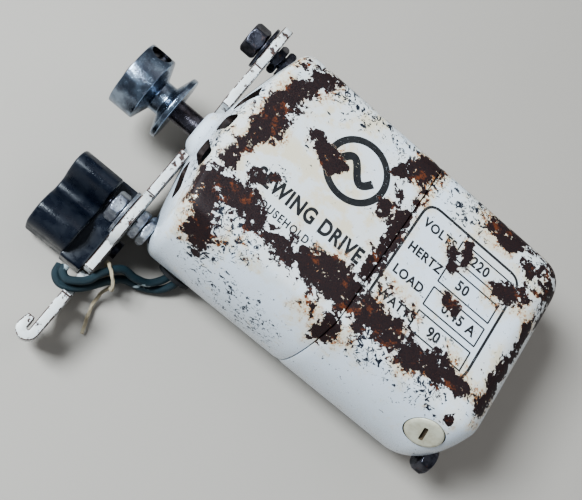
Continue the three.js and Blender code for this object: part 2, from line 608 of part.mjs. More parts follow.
function brushSide(side, angle) {
  const put = (name, geometry, finish) => add(`${name}_${side}`, radial(geometry, angle, BRUSH_X),
    finish);
  put('brush_holder', ring(HOLDER_FROM, HOLDER_TO, HOLDER_BORE, HOLDER_RADIUS, 28), 'fibre');

  const block = new THREE.BoxGeometry(BRUSH_LENGTH + 1, BRUSH_SIZE, BRUSH_SIZE)
    .translate(BRUSH_TO - (BRUSH_LENGTH + 1) / 2, 0, 0);
  const commutatorFace = rod(-BRUSH_SIZE, BRUSH_SIZE, BRUSH_FROM, 48).rotateZ(Math.PI / 2);
  put('brush', cut(block, commutatorFace), 'carbon');

  const plugFrom = HOLDER_TO - CAP_PLUG;
  const end = GAP + SPRING_WIRE;
  const spring = new Helix(SPRING_RADIUS, BRUSH_TO + end, plugFrom - end, SPRING_TURNS);
  put('brush_spring', cord(spring, SPRING_WIRE, 44, 5), 'steel');

  const head = turned([[plugFrom, 0], [plugFrom, HOLDER_BORE - GAP],
    [CAP_TO - CAP_HEAD, HOLDER_BORE - GAP], [CAP_TO - CAP_HEAD, CAP_RADIUS],
    [CAP_TO - 0.5, CAP_RADIUS], [CAP_TO, CAP_RADIUS - 0.5], [CAP_TO, 0]]);
  const { width, length, depth, turn } = CAP_SLOT;
  const slot = new THREE.BoxGeometry(2 * depth, width, length)
    .rotateX(THREE.MathUtils.degToRad(turn)).translate(CAP_TO, 0, 0);
  put('brush_cap', cut(head, slot), 'ivory');

  const [y, z] = [18.6 * sine(angle), 18.6 * cosine(angle)];
  const lead = [[BRUSH_X + HOLDER_RADIUS + 0.9, y, z], [STACK_FROM - COIL_OVERHANG - 2, y * 1.06, z],
    [STACK_FROM - COIL_OVERHANG - 1.1, y * 1.08, z * 0.9]];
  add(`brush_lead_${side}`, cord(lead, 0.8, 6), 'lead_sleeve');
}

// ---------------------------------------------------------------- bolts, nuts and washers
function fastener(name, geometry, side, finish) {
  add(name, placed(geometry, side * BOLT_CIRCLE, 0, BRACKET_TILT), finish);
}

function throughBolts() {
  const boreOut = BOLT_RADIUS + GAP;
  const nut = (from, height = NUT_HEIGHT) => cut(hexagon(from, from + height, NUT_FLATS),
    rod(from - 1, from + height + 1, boreOut, 16));
  const washer = (from) => ring(from, from + WASHER_HEIGHT, boreOut, WASHER_RADIUS, 28);
  const leftHead = REAR_SEAT - GAP;
  const leftEnd = OUTER_NUT + NUT_HEIGHT + 1.6;
  fastener('through_bolt_left', join(hexagon(leftHead - HEAD_HEIGHT, leftHead, HEAD_FLATS),
    rod(leftHead - 0.5, leftEnd, BOLT_RADIUS, 16)), 1, 'dark_steel');
  fastener('left_clamp_nut', nut(OUTER_NUT, NUT_HEIGHT + 0.9), 1, 'steel');

  const rightHead = OUTER_NUT;
  const rightEnd = REAR_SEAT - GAP - NUT_HEIGHT - 1.4;
  fastener('through_bolt_right', join(
    hexagon(rightHead, rightHead + HEAD_HEIGHT + 0.9, HEAD_FLATS + 0.4),
    rod(rightEnd, rightHead + 0.5, BOLT_RADIUS, 16)), -1, 'dark_steel');
  fastener('right_rear_nut', nut(REAR_SEAT - GAP - NUT_HEIGHT), -1, 'dark_steel');

  for (const [side, sign, finish] of [['left', 1, 'steel'], ['right', -1, 'dark_steel']]) {
    fastener(`${side}_standoff_nut`, nut(FIRST_NUT), sign, finish);
    fastener(`${side}_lock_nut`, nut(SECOND_NUT), sign, finish);
    fastener(`${side}_washer`, washer(OUTER_WASHER), sign, finish);
  }
}

// ---------------------------------------------------------------- bracket, drawn in its tilted frame
function bracket() {
  const notch = NOSE_RADIUS + BOSS_CLEARANCE + 0.8;
  const webTop = 4.5;
  const stepTop = -4.2;
  const notchSide = Math.asin(webTop / notch) * THREE.MathUtils.RAD2DEG;
  const [notchFrom, notchTo] = LEAD_NOTCH;
  const edge = [
    [-18, PLATE_BOTTOM], [notchTo + 2, PLATE_BOTTOM], [ARM_END - 3, ARM_END_BOTTOM],
    [ARM_END - 3, ARM_TOP], [notchTo + 0.8, ARM_TOP], [notchTo, ARM_TOP - 0.8],
    [notchTo, LEAD_NOTCH_FLOOR], [notchFrom, LEAD_NOTCH_FLOOR], [notchFrom, stepTop],
    [BOLT_CIRCLE + 7.4, stepTop],
    ...arc(BOLT_CIRCLE, 0, EAR_RADIUS, -20, 150, 10), [20, webTop],
    ...arc(0, 0, notch, notchSide, -180 - notchSide, 14), [-20, webTop],
    ...arc(-BOLT_CIRCLE, 0, EAR_RADIUS, 30, 240, 12)];
  const { u, w, length, width } = ARM_SLOT;
  const slot = outline([...arc(u + (length - width) / 2, w, width / 2, -90, 90, 6),
    ...arc(u - (length - width) / 2, w, width / 2, 90, 270, 6)]);
  const strip = cut(plate(outline(edge), PLATE_REAR, PLATE_FRONT),
    plate(slot, PLATE_REAR - 1, PLATE_FRONT + 1),
    ...[1, -1].map((side) => placed(rod(PLATE_REAR - 1, PLATE_FRONT + 1, BOLT_HOLE, 20),
      side * BOLT_CIRCLE, 0)),
    ...connectorScrewPlaces().map(([y, z]) => placed(
      rod(PLATE_REAR - 1, PLATE_FRONT + 1, CONNECTOR_SCREW_RADIUS + GAP, 12), y, z)));
  return placed(join(strip, hem()), 0, 0, BRACKET_TILT);
}

// The arm's end, folded back on the pulley side; its section is drawn in (X, Y).
function hem() {
  const inner = HEM_GAP / 2;
  const outer = inner + PLATE_THICKNESS;
  const foldX = PLATE_FRONT + inner;
  const foldY = ARM_END - outer;
  const section = outline([[PLATE_REAR, ARM_END - 4], [PLATE_FRONT, ARM_END - 4],
    ...arc(foldX, foldY, inner, 180, 0, 4),
    [foldX + inner, ARM_END - HEM_LENGTH], [foldX + outer - 0.6, ARM_END - HEM_LENGTH],
    ...arc(foldX, foldY, outer, 0, 180, 8)]);
  const height = ARM_TOP - ARM_END_BOTTOM;
  return new THREE.ExtrudeGeometry(section, { depth: height, bevelEnabled: false })
    .translate(0, 0, ARM_END_BOTTOM);
}

// ---------------------------------------------------------------- connector
function connectorScrewPlaces() {
  const [from, to] = CONNECTOR_SIDE;
  return [[from + 3.4, -11.2], [to - 10.2, -11.2]];
}

function connectorBody() {
  const [from, to] = CONNECTOR_SIDE;
  const bottom = CONNECTOR_BOTTOM;
  const lobes = new THREE.Shape();
  lobes.moveTo(from + 1.4, bottom);
  lobes.lineTo(to - 1.4, bottom);
  lobes.quadraticCurveTo(to, bottom, to, bottom + 1.4);
  lobes.splineThru([[to, -9.4], [to - 1.2, -5.2], [to - 5.6, -2.2], [to - 9.6, -3.6],
    [to - 12.4, -6], [to - 14.6, -5.4], [to - 16.4, -1.4], [to - 19.2, 1.8], [from + 2.6, 1.2],
    [from + 0.2, -2.6]].map(([x, y]) => new THREE.Vector2(x, y)));
  lobes.lineTo(from, bottom + 1.4);
  lobes.quadraticCurveTo(from, bottom, from + 1.4, bottom);
  const baseTo = CONNECTOR_FROM + CONNECTOR_BASE;
  const base = plate(outline([[from - 1, bottom - 0.4], [to + 0.8, bottom - 0.4], [to + 0.8, -7.8],
    [from - 1, -7.3]]), CONNECTOR_FROM, baseTo);
  const { from: left, to: right, bottom: low, top, depth } = SOCKET;
  const socket = plate(outline([[left, low], [right, low], [right, top], [left, top]]),
    CONNECTOR_TO - depth, CONNECTOR_TO + 1);
  const screwHoles = connectorScrewPlaces().map(([y, z]) => placed(
    rod(CONNECTOR_FROM - 1, CONNECTOR_FROM + 4.6, CONNECTOR_SCREW_RADIUS + GAP, 12), y, z));
  return placed(cut(join(plate(lobes, baseTo - 0.5, CONNECTOR_TO, 3), base), socket,
    ...screwHoles, ...connectorPinPlaces().map(([y, z]) => placed(
      rod(baseTo - 2, CONNECTOR_TO, PIN_RADIUS + GAP, 14), y, z))), 0, 0, BRACKET_TILT);
}

function connectorPinPlaces() {
  const middle = (SOCKET.from + SOCKET.to) / 2;
  const height = (SOCKET.bottom + SOCKET.top) / 2;
  return [-1, 0, 1].map((i) => [middle + i * PIN_PITCH, height]);
}

function connector() {
  add('connector_body', connectorBody(), 'bakelite');
  const pinFrom = CONNECTOR_FROM + CONNECTOR_BASE - 2 + GAP;
  const pinTo = CONNECTOR_TO - PIN_SHORT;
  const pin = turned([[pinFrom, 0], [pinFrom, PIN_RADIUS], [pinTo - 0.6, PIN_RADIUS],
    [pinTo, PIN_RADIUS / 2], [pinTo, 0]], 14);
  connectorPinPlaces().forEach(([y, z], i) => {
    add(`connector_pin_${i + 1}`, placed(pin, y, z, BRACKET_TILT), 'brass');
  });
  const head = PLATE_REAR - GAP;
  const screw = join(rod(head - 1.6, head, 2.6, 16),
    rod(head - 0.5, CONNECTOR_FROM + 4, CONNECTOR_SCREW_RADIUS, 12));
  const slot = new THREE.BoxGeometry(1.4, 6, 0.8).translate(head - 1.6, 0, 0);
  connectorScrewPlaces().forEach(([y, z], i) => {
    add(`connector_screw_${i + 1}`, placed(cut(screw, slot), y, z, BRACKET_TILT), 'dark_steel');
  });
}

// ---------------------------------------------------------------- leads
function leads() {
  const [inside, outside] = [INNER_RADIUS - 0.8, HOUSING_RADIUS + GAP];
  const hole = GROMMET_HOLE - 1.1;
  const grommet = turned([
    [inside - 1.2, hole], [inside - 1.2, GROMMET_HOLE + 1], [inside, GROMMET_HOLE + 1],
    [inside, GROMMET_HOLE - GAP], [outside, GROMMET_HOLE - GAP], [outside, GROMMET_HOLE + 1],
    [outside + 1.2, GROMMET_HOLE + 0.6], [outside + 1.2, hole]], 20);
  add('lead_grommet', radial(grommet, GROMMET_ANGLE, GROMMET_X), 'rubber');
  for (const [name, route] of Object.entries(LEAD_ROUTES)) {
    add(name, cord(route, LEAD_RADIUS, 28), 'lead_sleeve');
  }
  add('lead_tie', cord(TIE_ROUTE, TIE_RADIUS, 34, 6), 'thread');
}

// ---------------------------------------------------------------- assembly
add('front_shell', frontShell(), 'enamel');
add('rear_shell', rearShell(), 'enamel');
bearings();
add('stator_core', statorCore(), 'laminations');
add('field_coil_left', fieldCoil(), 'copper');
add('field_coil_right', placed(fieldCoil(), 0, 0, 180), 'copper');
rotor();
brushSide('left', BRUSH_ANGLE);
brushSide('right', BRUSH_ANGLE + 180);
throughBolts();
add('mounting_bracket', bracket(), 'enamel');
connector();
leads();

export default motor;
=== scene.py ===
"""Looks of a small sewing machine motor, built round its packed frame.

Sizes are millimetres in the motor's own frame, where X runs along the shaft towards the pulley
with 0 at the seam, and Z points out of the upper flat. row() lifts points into the packed frame.
"""

import logging
import math
from dataclasses import dataclass
from enum import Enum
from typing import Optional, Sequence

import bmesh
import bpy
import numpy as np
from mathutils import Matrix, Vector


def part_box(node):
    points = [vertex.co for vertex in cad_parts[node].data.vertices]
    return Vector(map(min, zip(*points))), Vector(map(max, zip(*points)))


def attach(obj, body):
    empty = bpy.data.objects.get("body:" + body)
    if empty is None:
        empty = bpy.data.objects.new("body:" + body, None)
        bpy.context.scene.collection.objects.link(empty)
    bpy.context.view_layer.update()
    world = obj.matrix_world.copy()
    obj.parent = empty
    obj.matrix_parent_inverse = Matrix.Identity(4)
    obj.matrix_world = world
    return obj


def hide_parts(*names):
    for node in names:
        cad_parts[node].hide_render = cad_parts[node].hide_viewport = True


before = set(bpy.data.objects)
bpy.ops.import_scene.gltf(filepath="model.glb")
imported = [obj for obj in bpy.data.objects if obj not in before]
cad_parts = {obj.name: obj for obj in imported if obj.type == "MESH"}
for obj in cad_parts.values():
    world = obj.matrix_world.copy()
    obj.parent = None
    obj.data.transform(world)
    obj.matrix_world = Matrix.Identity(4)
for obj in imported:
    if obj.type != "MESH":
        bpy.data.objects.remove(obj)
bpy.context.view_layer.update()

MM = 0.001
FRONT_LOW, FRONT_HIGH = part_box("front_shell")
REAR_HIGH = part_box("rear_shell")[1]
SEAM_X = (FRONT_LOW.x + REAR_HIGH.x) / 2 / MM
AXIS_Z = (FRONT_LOW.z + FRONT_HIGH.z) / 2 / MM
ORIGIN = np.array([SEAM_X, 0.0, AXIS_Z])

Color = tuple[float, float, float]
Point = tuple[float, float, float]


def row(points: np.ndarray) -> np.ndarray:
    """Moves motor-frame millimetres into the packed frame's metres."""
    return (np.asarray(points, float) + ORIGIN) * MM


def motor_box(node: str) -> tuple[np.ndarray, np.ndarray]:
    """The lowest and highest corner of a CAD node, in the motor frame."""
    low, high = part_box(node)
    return np.array(low) / MM - ORIGIN, np.array(high) / MM - ORIGIN


def middle_of(node: str) -> np.ndarray:
    """The middle of a CAD node's box, in the motor frame."""
    low, high = motor_box(node)
    return (low + high) / 2


def points_of(mesh: bpy.types.Mesh) -> np.ndarray:
    """The mesh's vertices in the packed frame, one to a row.

    Args:
        mesh: the mesh to read.

    Returns:
        Rows of x, y and z in metres.
    """
    place = np.empty(len(mesh.vertices) * 3)
    mesh.vertices.foreach_get("co", place)
    return place.reshape(-1, 3)


def placed(name: str, data: bpy.types.ID) -> bpy.types.Object:
    """A new object in the scene, at the origin, that carries the data.

    Args:
        name: the object's name.
        data: the mesh, curve, camera or light it carries.

    Returns:
        The object.
    """
    made = bpy.data.objects.new(name, data)
    bpy.context.scene.collection.objects.link(made)
    return made


def evaluated(piece: bpy.types.Object) -> bpy.types.Mesh:
    """A new mesh of a piece, as its modifiers or its lettering shape it.

    Args:
        piece: the piece to read.

    Returns:
        The new mesh.
    """
    bpy.context.view_layer.update()
    graph = bpy.context.evaluated_depsgraph_get()
    return bpy.data.meshes.new_from_object(piece.evaluated_get(graph))


class Body(Enum):
    """The CAD bodies that pieces ride on."""

    HOUSING = "housing"
    ROTOR = "rotor"
    LEFT_CAP = "left_cap"
    RIGHT_CAP = "right_cap"


# ------------------------------------------------------------------ shader node helpers
class Tree:
    """A node tree while it is being filled, with short calls for the nodes that repeat."""

    def __init__(self, tree: bpy.types.NodeTree) -> None:
        """Keeps the tree that the calls add to."""
        self.tree = tree

    def node(self, kind: str, **settings: object) -> bpy.types.Node:
        """Adds a node and sets its properties by name.

        Args:
            kind: the node's type.
            **settings: its properties.

        Returns:
            The node.
        """
        made = self.tree.nodes.new(kind)
        for name, value in settings.items():
            setattr(made, name, value)
        return made

    def feed(self, socket: bpy.types.NodeSocket, value: object) -> None:
        """Links a socket when given one, and otherwise sets the plain value.

        Args:
            socket: the input to feed.
            value: a socket or a plain value.
        """
        if isinstance(value, bpy.types.NodeSocket):
            self.tree.links.new(value, socket)
        else:
            socket.default_value = value

    def math(self, operation: str, first: object, second: object = 0.0,
             clamp: bool = False) -> bpy.types.NodeSocket:
        """One Math node's result.

        Args:
            operation: the node's operation.
            first: a value or a socket.
            second: a value or a socket.
            clamp: whether the result is held between 0 and 1.

        Returns:
            The result's socket.
        """
        made = self.node("ShaderNodeMath", operation=operation, use_clamp=clamp)
        self.feed(made.inputs[0], first)
        self.feed(made.inputs[1], second)
        return made.outputs[0]

    def times(self, first: object, second: object) -> bpy.types.NodeSocket:
        """The product of two values."""
        return self.math("MULTIPLY", first, second)

    def plus(self, first: object, second: object) -> bpy.types.NodeSocket:
        """The sum of two values."""
        return self.math("ADD", first, second)

    def larger(self, first: object, second: object) -> bpy.types.NodeSocket:
        """The larger of two values."""
        return self.math("MAXIMUM", first, second)

    def rest(self, share: object) -> bpy.types.NodeSocket:
        """What a share leaves of one."""
        return self.math("SUBTRACT", 1, share)

    def vector(self, operation: str, first: object, second: object) -> bpy.types.NodeSocket:
        """One Vector Math node's vector result.

        Args:
            operation: the node's operation.
            first: a vector or a socket.
            second: a vector or a socket.

        Returns:
            The result's socket.
        """
        made = self.node("ShaderNodeVectorMath", operation=operation)
        self.feed(made.inputs[0], first)
        self.feed(made.inputs[1], second)
        return made.outputs["Vector"]

    def noise(self, at: object, scale: float, detail: float = 3.0, roughness: float = 0.55,
              distortion: float = 0.0) -> bpy.types.NodeSocket:
        """Fractal noise between 0 and 1.

        Args:
            at: the point socket.
            scale: features per millimetre.
            detail: octaves.
            roughness: how strong the finer octaves are.
            distortion: how far the pattern is pulled about.

        Returns:
            The value socket.
        """
        made = self.node("ShaderNodeTexNoise")
        self.feed(made.inputs["Vector"], at)
        made.inputs["Scale"].default_value = scale
        made.inputs["Detail"].default_value = detail
        made.inputs["Roughness"].default_value = roughness
        made.inputs["Distortion"].default_value = distortion
        return made.outputs[0]

    def step(self, value: object, low: float, high: float) -> bpy.types.NodeSocket:
        """A smooth step from 0 at low to 1 at high.

        Args:
            value: the socket to step.
            low: where the step starts.
            high: where it ends.

        Returns:
            The stepped socket.
        """
        made = self.node("ShaderNodeMapRange", interpolation_type="SMOOTHSTEP")
        self.feed(made.inputs[0], value)
        made.inputs[1].default_value = low
        made.inputs[2].default_value = high
        return made.outputs[0]

    def mix(self, share: object, first: object, second: object) -> bpy.types.NodeSocket:
        """A colour between first and second.

        Args:
            share: 0 for all of first, 1 for all of second.
            first: a colour or a socket.
            second: a colour or a socket.

        Returns:
            The colour socket.
        """
        made = self.node("ShaderNodeMix", data_type="RGBA")
        self.feed(made.inputs[0], share)
        for socket, value in ((made.inputs[6], first), (made.inputs[7], second)):
            self.feed(socket, (*value, 1.0) if isinstance(value, tuple) else value)
        return made.outputs[2]

    def bump(self, height: object, depth: float) -> bpy.types.NodeSocket:
        """A normal from a height, where depth is the height's full range in millimetres.

        Args:
            height: the height's socket.
            depth: the full range in millimetres.

        Returns:
            The normal socket.
        """
        made = self.node("ShaderNodeBump")
        made.inputs["Distance"].default_value = depth * MM
        self.feed(made.inputs["Height"], height)
        return made.outputs[0]

    def place(self) -> bpy.types.NodeSocket:
        """The surface point in motor-frame millimetres, from the object's own coordinates.

        Returns:
            The point's socket.
        """
        coordinates = self.node("ShaderNodeTexCoord")
        mapping = self.node("ShaderNodeMapping", vector_type="POINT")
        mapping.inputs["Location"].default_value = tuple(-ORIGIN)
        mapping.inputs["Scale"].default_value = (1 / MM,) * 3
        self.feed(mapping.inputs["Vector"], coordinates.outputs["Object"])
        return mapping.outputs[0]

    def group(self, tree: bpy.types.NodeTree, **inputs: object) -> bpy.types.Node:
        """Places a node group and feeds its inputs by name, with spaces as underscores.

        Args:
            tree: the group to place.
            **inputs: values or sockets for its inputs.

        Returns:
            The group's node.
        """
        made = self.node("ShaderNodeGroup", node_tree=tree)
        for name, value in inputs.items():
            self.feed(made.inputs[name.replace("_", " ")], value)
        return made


def new_group(name: str, inputs: Sequence[tuple[str, str]],
              outputs: Sequence[tuple[str, str]]) -> tuple[Tree, bpy.types.Node, bpy.types.Node]:
    """Starts a shader node group with named sockets.

    Args:
        name: the group's name.
        inputs: pairs of socket name and socket kind.
        outputs: pairs of socket name and socket kind.

    Returns:
        The tree to fill, its input node and its output node.
    """
    tree = bpy.data.node_groups.new(name, "ShaderNodeTree")
    for in_out, sockets in (("INPUT", inputs), ("OUTPUT", outputs)):
        for socket, kind in sockets:
            tree.interface.new_socket(socket, in_out=in_out, socket_type=f"NodeSocket{kind}")
    filled = Tree(tree)
    return filled, filled.node("NodeGroupInput"), filled.node("NodeGroupOutput")


# ------------------------------------------------------------------ rust and wear
@dataclass(frozen=True)
class Stroke:
    """One stretch of damaged enamel: a line between two points and how far it reaches."""

    start: Point
    end: Point
    reach: float


RUST_STROKES = (
    Stroke((46, 17, 24), (28, 21, 23), 5.6),        # front half of the left flat edge
    Stroke((28, 21, 23), (3, 21, 23), 5.4),
    Stroke((6, 19, 23), (-9, 19, 23), 9.2),         # heavy patch across the seam
    Stroke((-10, 21, 23), (-28, 20, 23), 5.8),      # rear half of the left flat edge
    Stroke((-26, 16, 23), (-36, 20, 22), 3.4),
    Stroke((45, 21, 24), (41, 29, 20), 6.0),        # left end of the front shoulder
    Stroke((40, 31, 17), (37, 32, 14), 3.2),
    Stroke((46, 12, 23), (44, 0, 23), 3.6),         # front shoulder, across the upper flat
    Stroke((44, -2, 23), (42, -22, 22), 5.2),
    Stroke((41, -22, 23), (36, -27, 21), 4.0),
    Stroke((1, -28, 20), (1, 12, 23), 3.4),         # along the seam
    Stroke((2, 24, 23), (0, 30, 18), 4.6),
    Stroke((9, -18, 23), (3, -24, 23), 4.6),
    Stroke((7, -13, 23), (5, -11, 23), 2.6),
    Stroke((8, -7, 23), (7, -5, 23), 2.8),
    Stroke((31, -9, 23), (24, -6, 23), 3.4),        # ahead of the symbol
    Stroke((38, 10, 23), (34, 7, 23), 2.8),
    Stroke((-18, -14, 23), (-19, -9, 23), 2.4),     # spots in the rating panel
    Stroke((-15, -9, 23), (-17, -6, 23), 2.6),
    Stroke((-33, -10, 23), (-38, -14, 22), 4.6),
    Stroke((-20, 2, 23), (-23, 3, 23), 2.4),
    Stroke((-22, -26, 22), (-38, -25, 21), 6.0),    # right rear corner
    Stroke((-38, -24, 21), (-47, -17, 17), 8.6),
    Stroke((-44, -7, 21), (-45, 5, 21), 2.6),       # across the rear shoulder
    Stroke((-44, 5, 21), (-43, 20, 20), 4.4),
    Stroke((-41, 22, 20), (-38, 26, 20), 3.0),
)
CHIP_STROKES = (
    Stroke((34, -26, 22), (-14, -26, 22), 9.0),     # right flat edge
    Stroke((46, 22, 22), (30, 27, 20), 10.0),
    Stroke((36, 32, 12), (14, 34, 4), 15.0),        # left side
    Stroke((0, -24, 22), (-16, -20, 23), 8.0),
    Stroke((-10, 25, 22), (-30, 24, 22), 9.0),
    Stroke((52, -10, 20), (52, 16, 16), 8.0),
)
STAIN_STROKES = (
    Stroke((44, 6, 23), (24, 2, 23), 15.0),
    Stroke((24, -8, 23), (10, 4, 23), 12.0),
    Stroke((34, -18, 23), (22, -24, 22), 9.0),
    Stroke((-16, -22, 23), (-40, -18, 22), 11.0),
    Stroke((-42, 6, 22), (-40, 16, 22), 7.0),
)


def nearness(points: np.ndarray, strokes: Sequence[Stroke]) -> np.ndarray:
    """Each point's nearness to the strokes: the greatest 1 - distance / reach, at least -1.

    The distance is from the point to start + s (end - start), where s is the dot product of
    point - start with end - start over the square of the stroke's length, held between 0 and 1.

    Args:
        points: rows of x, y and z in the motor frame.
        strokes: the strokes to measure from.

    Returns:
        One value for each point.
    """
    start = np.array([stroke.start for stroke in strokes], float)
    along = np.array([stroke.end for stroke in strokes], float) - start
    reach = np.array([stroke.reach for stroke in strokes])
    away = points[:, None] - start
    s = np.clip(np.einsum("psk,sk->ps", away, along) / np.einsum("sk,sk->s", along, along), 0, 1)
    distance = np.linalg.norm(away - s[..., None] * along, axis=-1)
    return np.maximum((1 - distance / reach).max(1), -1)


def expose(piece: bpy.types.Object) -> None:
    """Stores how near each vertex is to the rust, chip and stain strokes, for the wear group.

    Args:
        piece: the piece whose mesh gets the three attributes.
    """
    mesh = piece.data
    points = points_of(mesh) / MM - ORIGIN
    for name, strokes in (("rust_near", RUST_STROKES), ("chip_near", CHIP_STROKES),
                          ("stain_near", STAIN_STROKES)):
        layer = mesh.attributes.new(name, "FLOAT", "POINT")
        layer.data.foreach_set("value", nearness(points, strokes).astype(np.float32))


def housing_wear_group() -> bpy.types.NodeTree:
    """Masks of the enamel's damage, from the stored nearness and noise of several sizes.

    Rust is where nearness plus ragged noise passes a threshold, the fringe is the speckled band
    just outside it, the stain is the soft glow further out, and chips are small noise islands
    and scratches.

    Returns:
        The group, which puts out the four masks.
    """
    tree, _, result = new_group(
        "housing_wear", (),
        (("Rust", "Float"), ("Fringe", "Float"), ("Stain", "Float"), ("Chips", "Float")))
    at = tree.place()
    rust_near, chip_near, stain_near = (
        tree.node("ShaderNodeAttribute", attribute_name=name).outputs["Fac"]
        for name in ("rust_near", "chip_near", "stain_near"))
    ragged = tree.plus(tree.times(tree.noise(at, 0.15, 8, 0.66, 0.5), 3.4),
                       tree.times(tree.noise(at, 0.62, 4, 0.6, 0.4), 1.7))
    field = tree.plus(rust_near, tree.math("SUBTRACT", ragged, 2.55))
    islands = tree.step(tree.noise(at, 0.55, 5, 0.7), 0.63, 0.64)
    rust = tree.times(tree.step(field, 0.32, 0.34), tree.rest(islands))
    zone = tree.step(tree.noise(at, 0.075, 3, 0.6), 0.45, 0.56)
    speckle = tree.step(tree.noise(at, 1.2, 5, 0.75), 0.50, 0.56)
    fringe = tree.times(tree.times(tree.step(field, -0.25, 0.30), zone), speckle)
    mottled = tree.times(tree.step(stain_near, 0.0, 0.6),
                         tree.step(tree.noise(at, 0.16, 5, 0.62), 0.40, 0.60))
    glow = tree.times(tree.step(field, -0.9, 0.25),
                      tree.plus(0.35, tree.times(zone, 0.65)))
    even = tree.times(tree.step(stain_near, -0.2, 0.6), 0.35)
    stain = tree.larger(glow, tree.larger(mottled, even))
    crowd = tree.plus(tree.times(tree.step(chip_near, 0.0, 0.8), 0.105),
                      tree.times(tree.step(rust_near, -1.0, 0.3), 0.045))
    crowd = tree.plus(crowd, tree.times(tree.noise(at, 0.06, 2), 0.16))
    flakes = tree.plus(tree.noise(at, 0.6, 4, 0.68, 1.2), crowd)
    tree.feed(result.inputs["Rust"], rust)
    tree.feed(result.inputs["Fringe"], fringe)
    tree.feed(result.inputs["Stain"], stain)
    combed = tree.noise(tree.vector("MULTIPLY", at, (0.3, 2.6, 0.9)), 0.8, 3, 0.6, 0.3)
    scratches = tree.times(tree.step(combed, 0.70, 0.73),
                           tree.step(tree.noise(at, 0.09, 2), 0.48, 0.6))
    chips = tree.larger(tree.step(flakes, 0.745, 0.755),
                        tree.times(scratches, 0.6))
    tree.feed(result.inputs["Chips"], chips)
    return tree.tree


def speckle_group() -> bpy.types.NodeTree:
    """Two sizes of mottling for any finish: broad blotches and fine specks.

    Returns:
        The group, which puts out both sizes.
    """
    tree, given, result = new_group(
        "mottling", (("Point", "Vector"), ("Blotch", "Float"), ("Speck", "Float")),
        (("Blotches", "Float"), ("Specks", "Float")))
    for name, size, detail in (("Blotches", "Blotch", 4), ("Specks", "Speck", 6)):
        made = tree.node("ShaderNodeTexNoise")
        tree.feed(made.inputs["Vector"], given.outputs["Point"])
        tree.feed(made.inputs["Scale"], given.outputs[size])
        made.inputs["Detail"].default_value = detail
        made.inputs["Roughness"].default_value = 0.65
        tree.feed(result.inputs[name], tree.step(made.outputs[0], 0.35, 0.65))
    return tree.tree


class Groups:
    """The shader node groups that several finishes share, each built once."""

    wear: bpy.types.NodeTree
    mottling: bpy.types.NodeTree

    @classmethod
    def build(cls) -> None:
        """Makes the groups before any finish asks for them."""
        cls.wear = housing_wear_group()
        cls.mottling = speckle_group()


# ------------------------------------------------------------------ finishes
@dataclass(frozen=True)
class Finish:
    """What every finish has: a material name and the record's slot it belongs to."""

    name: str
    slot: str

    def material(self) -> bpy.types.Material:
        """The finish's material, made the first time it is asked for.

        Returns:
            The material.
        """
        title = f"{self.name}_look"
        known = bpy.data.materials.get(title)
        if known is not None:
            return known
        made = bpy.data.materials.new(title)
        made.use_nodes = True
        tree = Tree(made.node_tree)
        made.node_tree.nodes.clear()
        shader = tree.node("ShaderNodeBsdfPrincipled")
        output = tree.node("ShaderNodeOutputMaterial")
        tree.feed(output.inputs["Surface"], shader.outputs[0])
        self.fill(tree, shader)
        return made

    def fill(self, tree: Tree, shader: bpy.types.Node) -> None:
        """Wires the finish into its shader.

        Args:
            tree: the material's tree.
            shader: the shader to feed.
        """
        raise NotImplementedError


RUST_DARK = (0.006, 0.0035, 0.006)
RUST_BROWN = (0.026, 0.009, 0.008)
RUST_ORANGE = (0.26, 0.065, 0.014)
RUST_OCHRE = (0.46, 0.19, 0.05)
CHIP_DARK = (0.010, 0.014, 0.024)


@dataclass(frozen=True)
class HousingEnamel(Finish):
    """Stove enamel with rust under its broken edges, a stained glow and small chips."""

    white: Color = (0.66, 0.71, 0.77)
    cream: Color = (0.66, 0.56, 0.37)

    def fill(self, tree: Tree, shader: bpy.types.Node) -> None:
        """Lays stain, chips, fringe and rust over the enamel, each by its own mask.

        Args:
            tree: the material's tree.
            shader: the shader to feed.
        """
        at = tree.place()
        wear = tree.group(Groups.wear)
        broad = tree.group(Groups.mottling, Point=at, Blotch=0.09, Speck=0.9)
        bits = tree.group(Groups.mottling, Point=at, Blotch=0.8, Speck=3.2)
        clean = tree.mix(tree.times(broad.outputs["Blotches"], 0.4),
                         self.white, (0.61, 0.65, 0.68))
        stained = tree.mix(tree.times(wear.outputs["Stain"], 0.8), clean, self.cream)
        chipped = tree.mix(wear.outputs["Chips"], stained, CHIP_DARK)
        orange = tree.mix(bits.outputs["Blotches"], RUST_OCHRE, RUST_ORANGE)
        fringed = tree.mix(wear.outputs["Fringe"], chipped, orange)
        brown = tree.mix(bits.outputs["Specks"], RUST_DARK, RUST_BROWN)
        warm = tree.step(tree.noise(at, 0.2, 6, 0.72), 0.56, 0.66)
        rust = tree.mix(tree.times(warm, 0.5), brown, RUST_ORANGE)
        tree.feed(shader.inputs["Base Color"], tree.mix(wear.outputs["Rust"], fringed, rust))
        bare = tree.larger(wear.outputs["Rust"], wear.outputs["Chips"])
        rough = tree.plus(0.24, tree.times(bare, 0.20))
        uneven = tree.times(bits.outputs["Specks"], 0.12)
        tree.feed(shader.inputs["Roughness"], tree.plus(rough, uneven))
        grain = tree.times(bits.outputs["Specks"], tree.times(bare, 0.5))
        height = tree.plus(tree.rest(bare), grain)
        orange_peel = tree.times(broad.outputs["Specks"], 0.08)
        tree.feed(shader.inputs["Normal"], tree.bump(tree.plus(height, orange_peel), 0.07))
        shader.inputs["Coat Roughness"].default_value = 0.12
        shader.inputs["Specular IOR Level"].default_value = 0.35
        tree.feed(shader.inputs["Coat Weight"],
                  tree.times(tree.rest(bare), 0.25))


